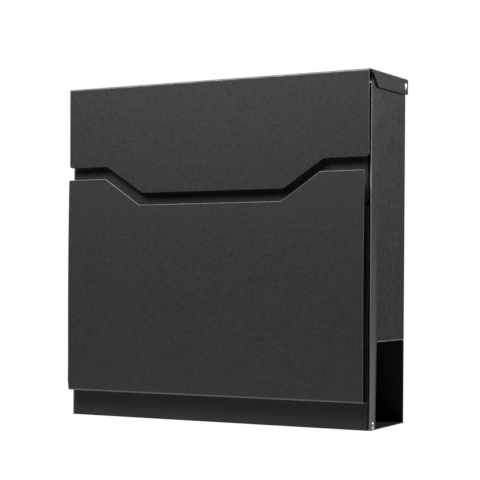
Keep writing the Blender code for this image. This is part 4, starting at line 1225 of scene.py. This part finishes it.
class MAILBOX_OT_lock(bpy.types.Operator):
    """Make the lock: barrel, nut, plug with keyway, cam and screw"""

    bl_idname = "mailbox.lock"
    bl_label = "Lock"

    def execute(self, context):
        """Turned barrel, plug and screw, a chamfered nut and a cam cut from flat steel."""
        chrome = [bpy.data.materials["lock_chrome_plate"]]
        zinc = bpy.data.materials["zinc_plate"]
        place = (0.0, 0.0, LOCK_Z)
        seat = FRONT_Y - 0.3
        first, last = low("lock_housing", Y), high("lock_housing", Y)
        line = fold_line([(8.0, last), (9.3, last), (9.3, seat), (11.0, seat), (11.0, first + 1.6),
                          (10.2, first), (8.2, first), (7.4, first + 0.7), (6.6, first + 0.7), (6.6, last),
                          (8.0, last)],
                         (0, 0.4, 0.1, 0.3, 0.6, 0.6, 0.3, 0.2, 0.2, 0.3, 0), 4)
        barrel = make_turned("lock_barrel_chrome", line, place, "Y", 96)
        settle(barrel, "housing", ["lock_housing"], chrome)
        shape = hex_nut("lock_nut_hex", place, 11.26, LOCK_BORE, low("lock_nut", Y), high("lock_nut", Y), 96)
        settle(shape, "housing", ["lock_nut"], [zinc])
        front, rear = low("lock_plug", Y), high("lock_plug", Y)
        line = fold_line([(0, rear), (6.3, rear), (6.3, front), (0, front)], (0, 0.2, 0.4, 0), 4)
        plug = make_turned("lock_plug_brass", line, place, "Y", 96)
        slot_line = spread((-3.5, -2.4, -1.0, 0.6, 2.0, 3.5), 0.9)
        zig = 0.55 + 0.22 * np.sin(slot_line * 2.1) + 0.1 * np.sign(slot_line)
        wall = np.concatenate([np.stack([zig, slot_line], 1), np.stack([zig - 1.25, slot_line], 1)[::-1]])
        ring = np.concatenate([wall, wall[:1]])
        slot_grid = np.empty((4, len(ring), 3))
        slot_grid[:, :, 0] = ring[:, 0]
        slot_grid[:, :, 2] = LOCK_Z + ring[:, 1]
        slot_grid[:, :, 1] = np.array([front - 1, front - 1, front + 6, front + 6])[:, None]
        slot_grid[0, :, [0, 2]] = np.array([[ring[:, 0].mean()], [LOCK_Z]])
        slot_grid[3, :, [0, 2]] = np.array([[ring[:, 0].mean()], [LOCK_Z]])
        keyway = mesh_object("keyway", slot_grid.reshape(-1, 3), quads(4, len(ring)))
        clean(keyway, outward=True)
        pierce(plug, [keyway, bore(2.3, "Y", place, rear - 8, rear + 1)])
        settle(plug, "lock", ["lock_plug"], [bpy.data.materials["plug_brass"]])
        self.cam(place, zinc)
        self.screw(place, zinc)
        return {"FINISHED"}

    def screw(self, place, zinc):
        """Screw on the cam, with a cross recess cut by two bars."""
        head, tip = high("cam_screw", Y), low("cam_screw", Y)
        base = head - 2.0
        line = fold_line([(0, head), (3.4, head), (4.5, head - 1.1), (4.5, base), (2.0, base), (2.0, tip),
                          (0, tip)], (0, 0.5, 0.4, 0.1, 0.05, 0.3, 0), 4)
        screw = make_turned("cam_screw_zinc", line, place, "Y", 64)
        bars = []
        for wide, tall in ((0.7, 2.8), (2.8, 0.7)):
            block = np.array([(-1, 0, -1), (1, 0, -1), (1, 0, 1), (-1, 0, 1), (-1, 0, -1)]) * [wide, 1, tall]
            grid = np.stack([block * 0, block, block, block * 0])
            grid[:, :, 1] = np.array([head - 1.1, head - 1.1, head + 1, head + 1])[:, None]
            grid[:, :, 2] += LOCK_Z
            bar = mesh_object("drive", grid.reshape(-1, 3), quads(4, 5))
            clean(bar, outward=True)
            bars.append(bar)
        pierce(screw, bars)
        settle(screw, "lock", ["cam_screw"], [zinc])

    def cam(self, place, zinc):
        """Cam: width across z is a smooth function of x, round at both ends."""
        middle = (low("lock_cam", Y) + high("lock_cam", Y)) / 2
        tip, eye, tip_round, arm = 40.0, 9.0, 4.0, 7.0
        angle = np.linspace(np.pi, 0, 17)
        eye_x = eye * np.cos(angle)
        round_x = tip - tip_round
        nose = round_x + tip_round * np.sin(np.linspace(0.25, 1, 6) * np.pi / 2)
        xs = np.concatenate([eye_x[eye_x < 5.5], np.linspace(6.0, round_x, 14), nose])
        eye_half = np.sqrt(np.clip(eye ** 2 - xs ** 2, 0, None))
        nose_half = arm - tip_round + np.sqrt(np.clip(tip_round ** 2 - (xs - round_x) ** 2, 0, None))
        arm_half = np.where(xs < round_x, arm, nose_half)
        half = np.maximum(np.where(xs < 5.5, eye_half, arm_half), 0.45)
        share = np.array([-1, -0.9, -0.6, -0.3, 0, 0.3, 0.6, 0.9, 1.0])
        grid = np.empty((len(share), len(xs), 3))
        grid[:, :, 0] = xs
        grid[:, :, 1] = middle
        grid[:, :, 2] = LOCK_Z + share[:, None] * half[None, :]
        hole = bore(2.3, "Y", place, middle - 3, middle + 3)
        shape = make_sheet("lock_cam_zinc", [(grid, None, 0.0)], 2.0, [hole])
        settle(shape, "lock", ["lock_cam"], [zinc, zinc])


class MAILBOX_OT_stage(bpy.types.Operator):
    """Make the pale floor, the soft lights and the camera"""

    bl_idname = "mailbox.stage"
    bl_label = "Stage"

    def execute(self, context):
        """Floor below the hanging box, white surround, two lights in front, one at each side, one behind."""
        stage = context.scene.mailbox_stage
        self.floor(stage)
        self.surround(stage)
        self.area("key_light", (-0.45, -0.9, 1.2), (0.0, -0.05, 0.2), 0.6, stage.key_power)
        self.area("top_light", (-0.25, -0.65, 1.2), (0.0, -0.05, 0.2), 0.35, stage.top_power)
        self.area("side_light", (1.1, 0.45, 0.75), (0.18, -0.05, 0.18), 0.65, stage.side_power)
        self.area("left_light", (-1.1, 0.45, 0.75), (-0.18, -0.05, 0.18), 0.65, stage.left_power)
        self.area("back_light", (-0.9, 1.9, 0.3), (0.0, 0.0, 0.18), 1.2, stage.back_power)
        self.camera(stage)
        return {"FINISHED"}

    def floor(self, stage):
        """Pale floor, a flat grid with a faint mottling."""
        xs = np.linspace(-1200, 1200, 13)
        grid = np.empty((13, 13, 3))
        grid[:, :, 0], grid[:, :, 1], grid[:, :, 2] = xs, xs[:, None], -360.0
        shape = mesh_object("pale_floor", grid.reshape(-1, 3), quads(13, 13))
        surface, tree, shader = new_surface("pale_floor_paint")
        mottle = node(tree, "ShaderNodeTexNoise", {"Scale": 3.0, "Detail": 3.0})
        place = tree.nodes.new("ShaderNodeTexCoord")
        tree.links.new(place.outputs["Object"], mottle.inputs["Vector"])
        tone = tuple(stage.floor)
        base = blend_colours(tree, mottle.outputs["Fac"], scaled(tone, 0.98), tone)
        tree.links.new(base, shader.inputs["Base Color"])
        shader.inputs["Roughness"].default_value = 0.85
        shape.data.materials.append(surface)

    def surround(self, stage):
        """White to the eye, and a little dimmer as a light on the object."""
        world = bpy.data.worlds.new("white_surround")
        world.use_nodes = True
        tree = world.node_tree
        sky = tree.nodes["Background"]
        sky.inputs["Color"].default_value = (1.0, 1.0, 1.0, 1.0)
        sky.inputs["Strength"].default_value = stage.surround
        seen = node(tree, "ShaderNodeBackground", {"Strength": 1.0})
        seen.inputs["Color"].default_value = (1.0, 1.0, 1.0, 1.0)
        path = tree.nodes.new("ShaderNodeLightPath")
        choose = tree.nodes.new("ShaderNodeMixShader")
        tree.links.new(path.outputs["Is Camera Ray"], choose.inputs[0])
        tree.links.new(sky.outputs[0], choose.inputs[1])
        tree.links.new(seen.outputs[0], choose.inputs[2])
        tree.links.new(choose.outputs[0], tree.nodes["World Output"].inputs["Surface"])
        bpy.context.scene.world = world
        bpy.context.scene.view_settings.view_transform = "Standard"

    def area(self, name, place, target, size, power):
        """Square soft light that looks at a target."""
        lamp = bpy.data.lights.new(name, "AREA")
        lamp.size = size
        lamp.energy = power
        holder = bpy.data.objects.new(name, lamp)
        holder.location = place
        holder.rotation_euler = (Vector(target) - Vector(place)).to_track_quat("-Z", "Y").to_euler()
        bpy.context.scene.collection.objects.link(holder)

    def camera(self, stage):
        """Camera to the right of the middle, level with the lower half of the box."""
        right = Vector((0.887769, 0.460256, 0.00548))
        up = Vector((-0.009816, 0.007028, 0.999927))
        back = Vector((0.460184, -0.887758, 0.010757))
        lens = bpy.data.cameras.new("camera")
        lens.lens = stage.lens
        lens.sensor_width = 36.0
        lens.shift_y = 0.125
        holder = bpy.data.objects.new("camera", lens)
        turn = Matrix((right, up, back)).transposed().to_4x4()
        holder.matrix_world = Matrix.Translation((0.69548, -1.38309, 0.14661)) @ turn
        bpy.context.scene.collection.objects.link(holder)
        bpy.context.scene.camera = holder


PIECES = (
    MAILBOX_OT_finishes,
    MAILBOX_OT_lid,
    MAILBOX_OT_buffers,
    MAILBOX_OT_side_walls,
    MAILBOX_OT_back,
    MAILBOX_OT_tunnel,
    MAILBOX_OT_header,
    MAILBOX_OT_door_plate,
    MAILBOX_OT_door_panel,
    MAILBOX_OT_pivots,
    MAILBOX_OT_panel_fixings,
    MAILBOX_OT_strike,
    MAILBOX_OT_lock,
    MAILBOX_OT_stage,
)


class MAILBOX_PT_panel(bpy.types.Panel):
    """Sidebar panel with the settings and the building steps"""

    bl_idname = "MAILBOX_PT_panel"
    bl_label = "Wall Mailbox"
    bl_space_type = "VIEW_3D"
    bl_region_type = "UI"
    bl_category = "Mailbox"

    def draw(self, context):
        """Lists the settings and one button for each step."""
        for group in (context.scene.mailbox_sheet, context.scene.mailbox_stage):
            column = self.layout.column()
            for name in group.__annotations__:
                column.prop(group, name)
        for piece in PIECES:
            self.layout.operator(piece.bl_idname)


CLASSES = (MailboxSheetSettings, MailboxStageSettings) + PIECES + (MAILBOX_PT_panel,)


def register():
    """Registers the classes and hangs the settings on the scene."""
    for item in CLASSES:
        bpy.utils.register_class(item)
    bpy.types.Scene.mailbox_sheet = PointerProperty(type=MailboxSheetSettings)
    bpy.types.Scene.mailbox_stage = PointerProperty(type=MailboxStageSettings)


def unregister():
    """Removes the settings and the classes."""
    del bpy.types.Scene.mailbox_stage
    del bpy.types.Scene.mailbox_sheet
    for item in reversed(CLASSES):
        bpy.utils.unregister_class(item)


def main():
    """Builds the mailbox and its stage."""
    register()
    for piece in PIECES:
        group, name = piece.bl_idname.split(".")
        getattr(getattr(bpy.ops, group), name)()


if __name__ == "__main__":
    main()
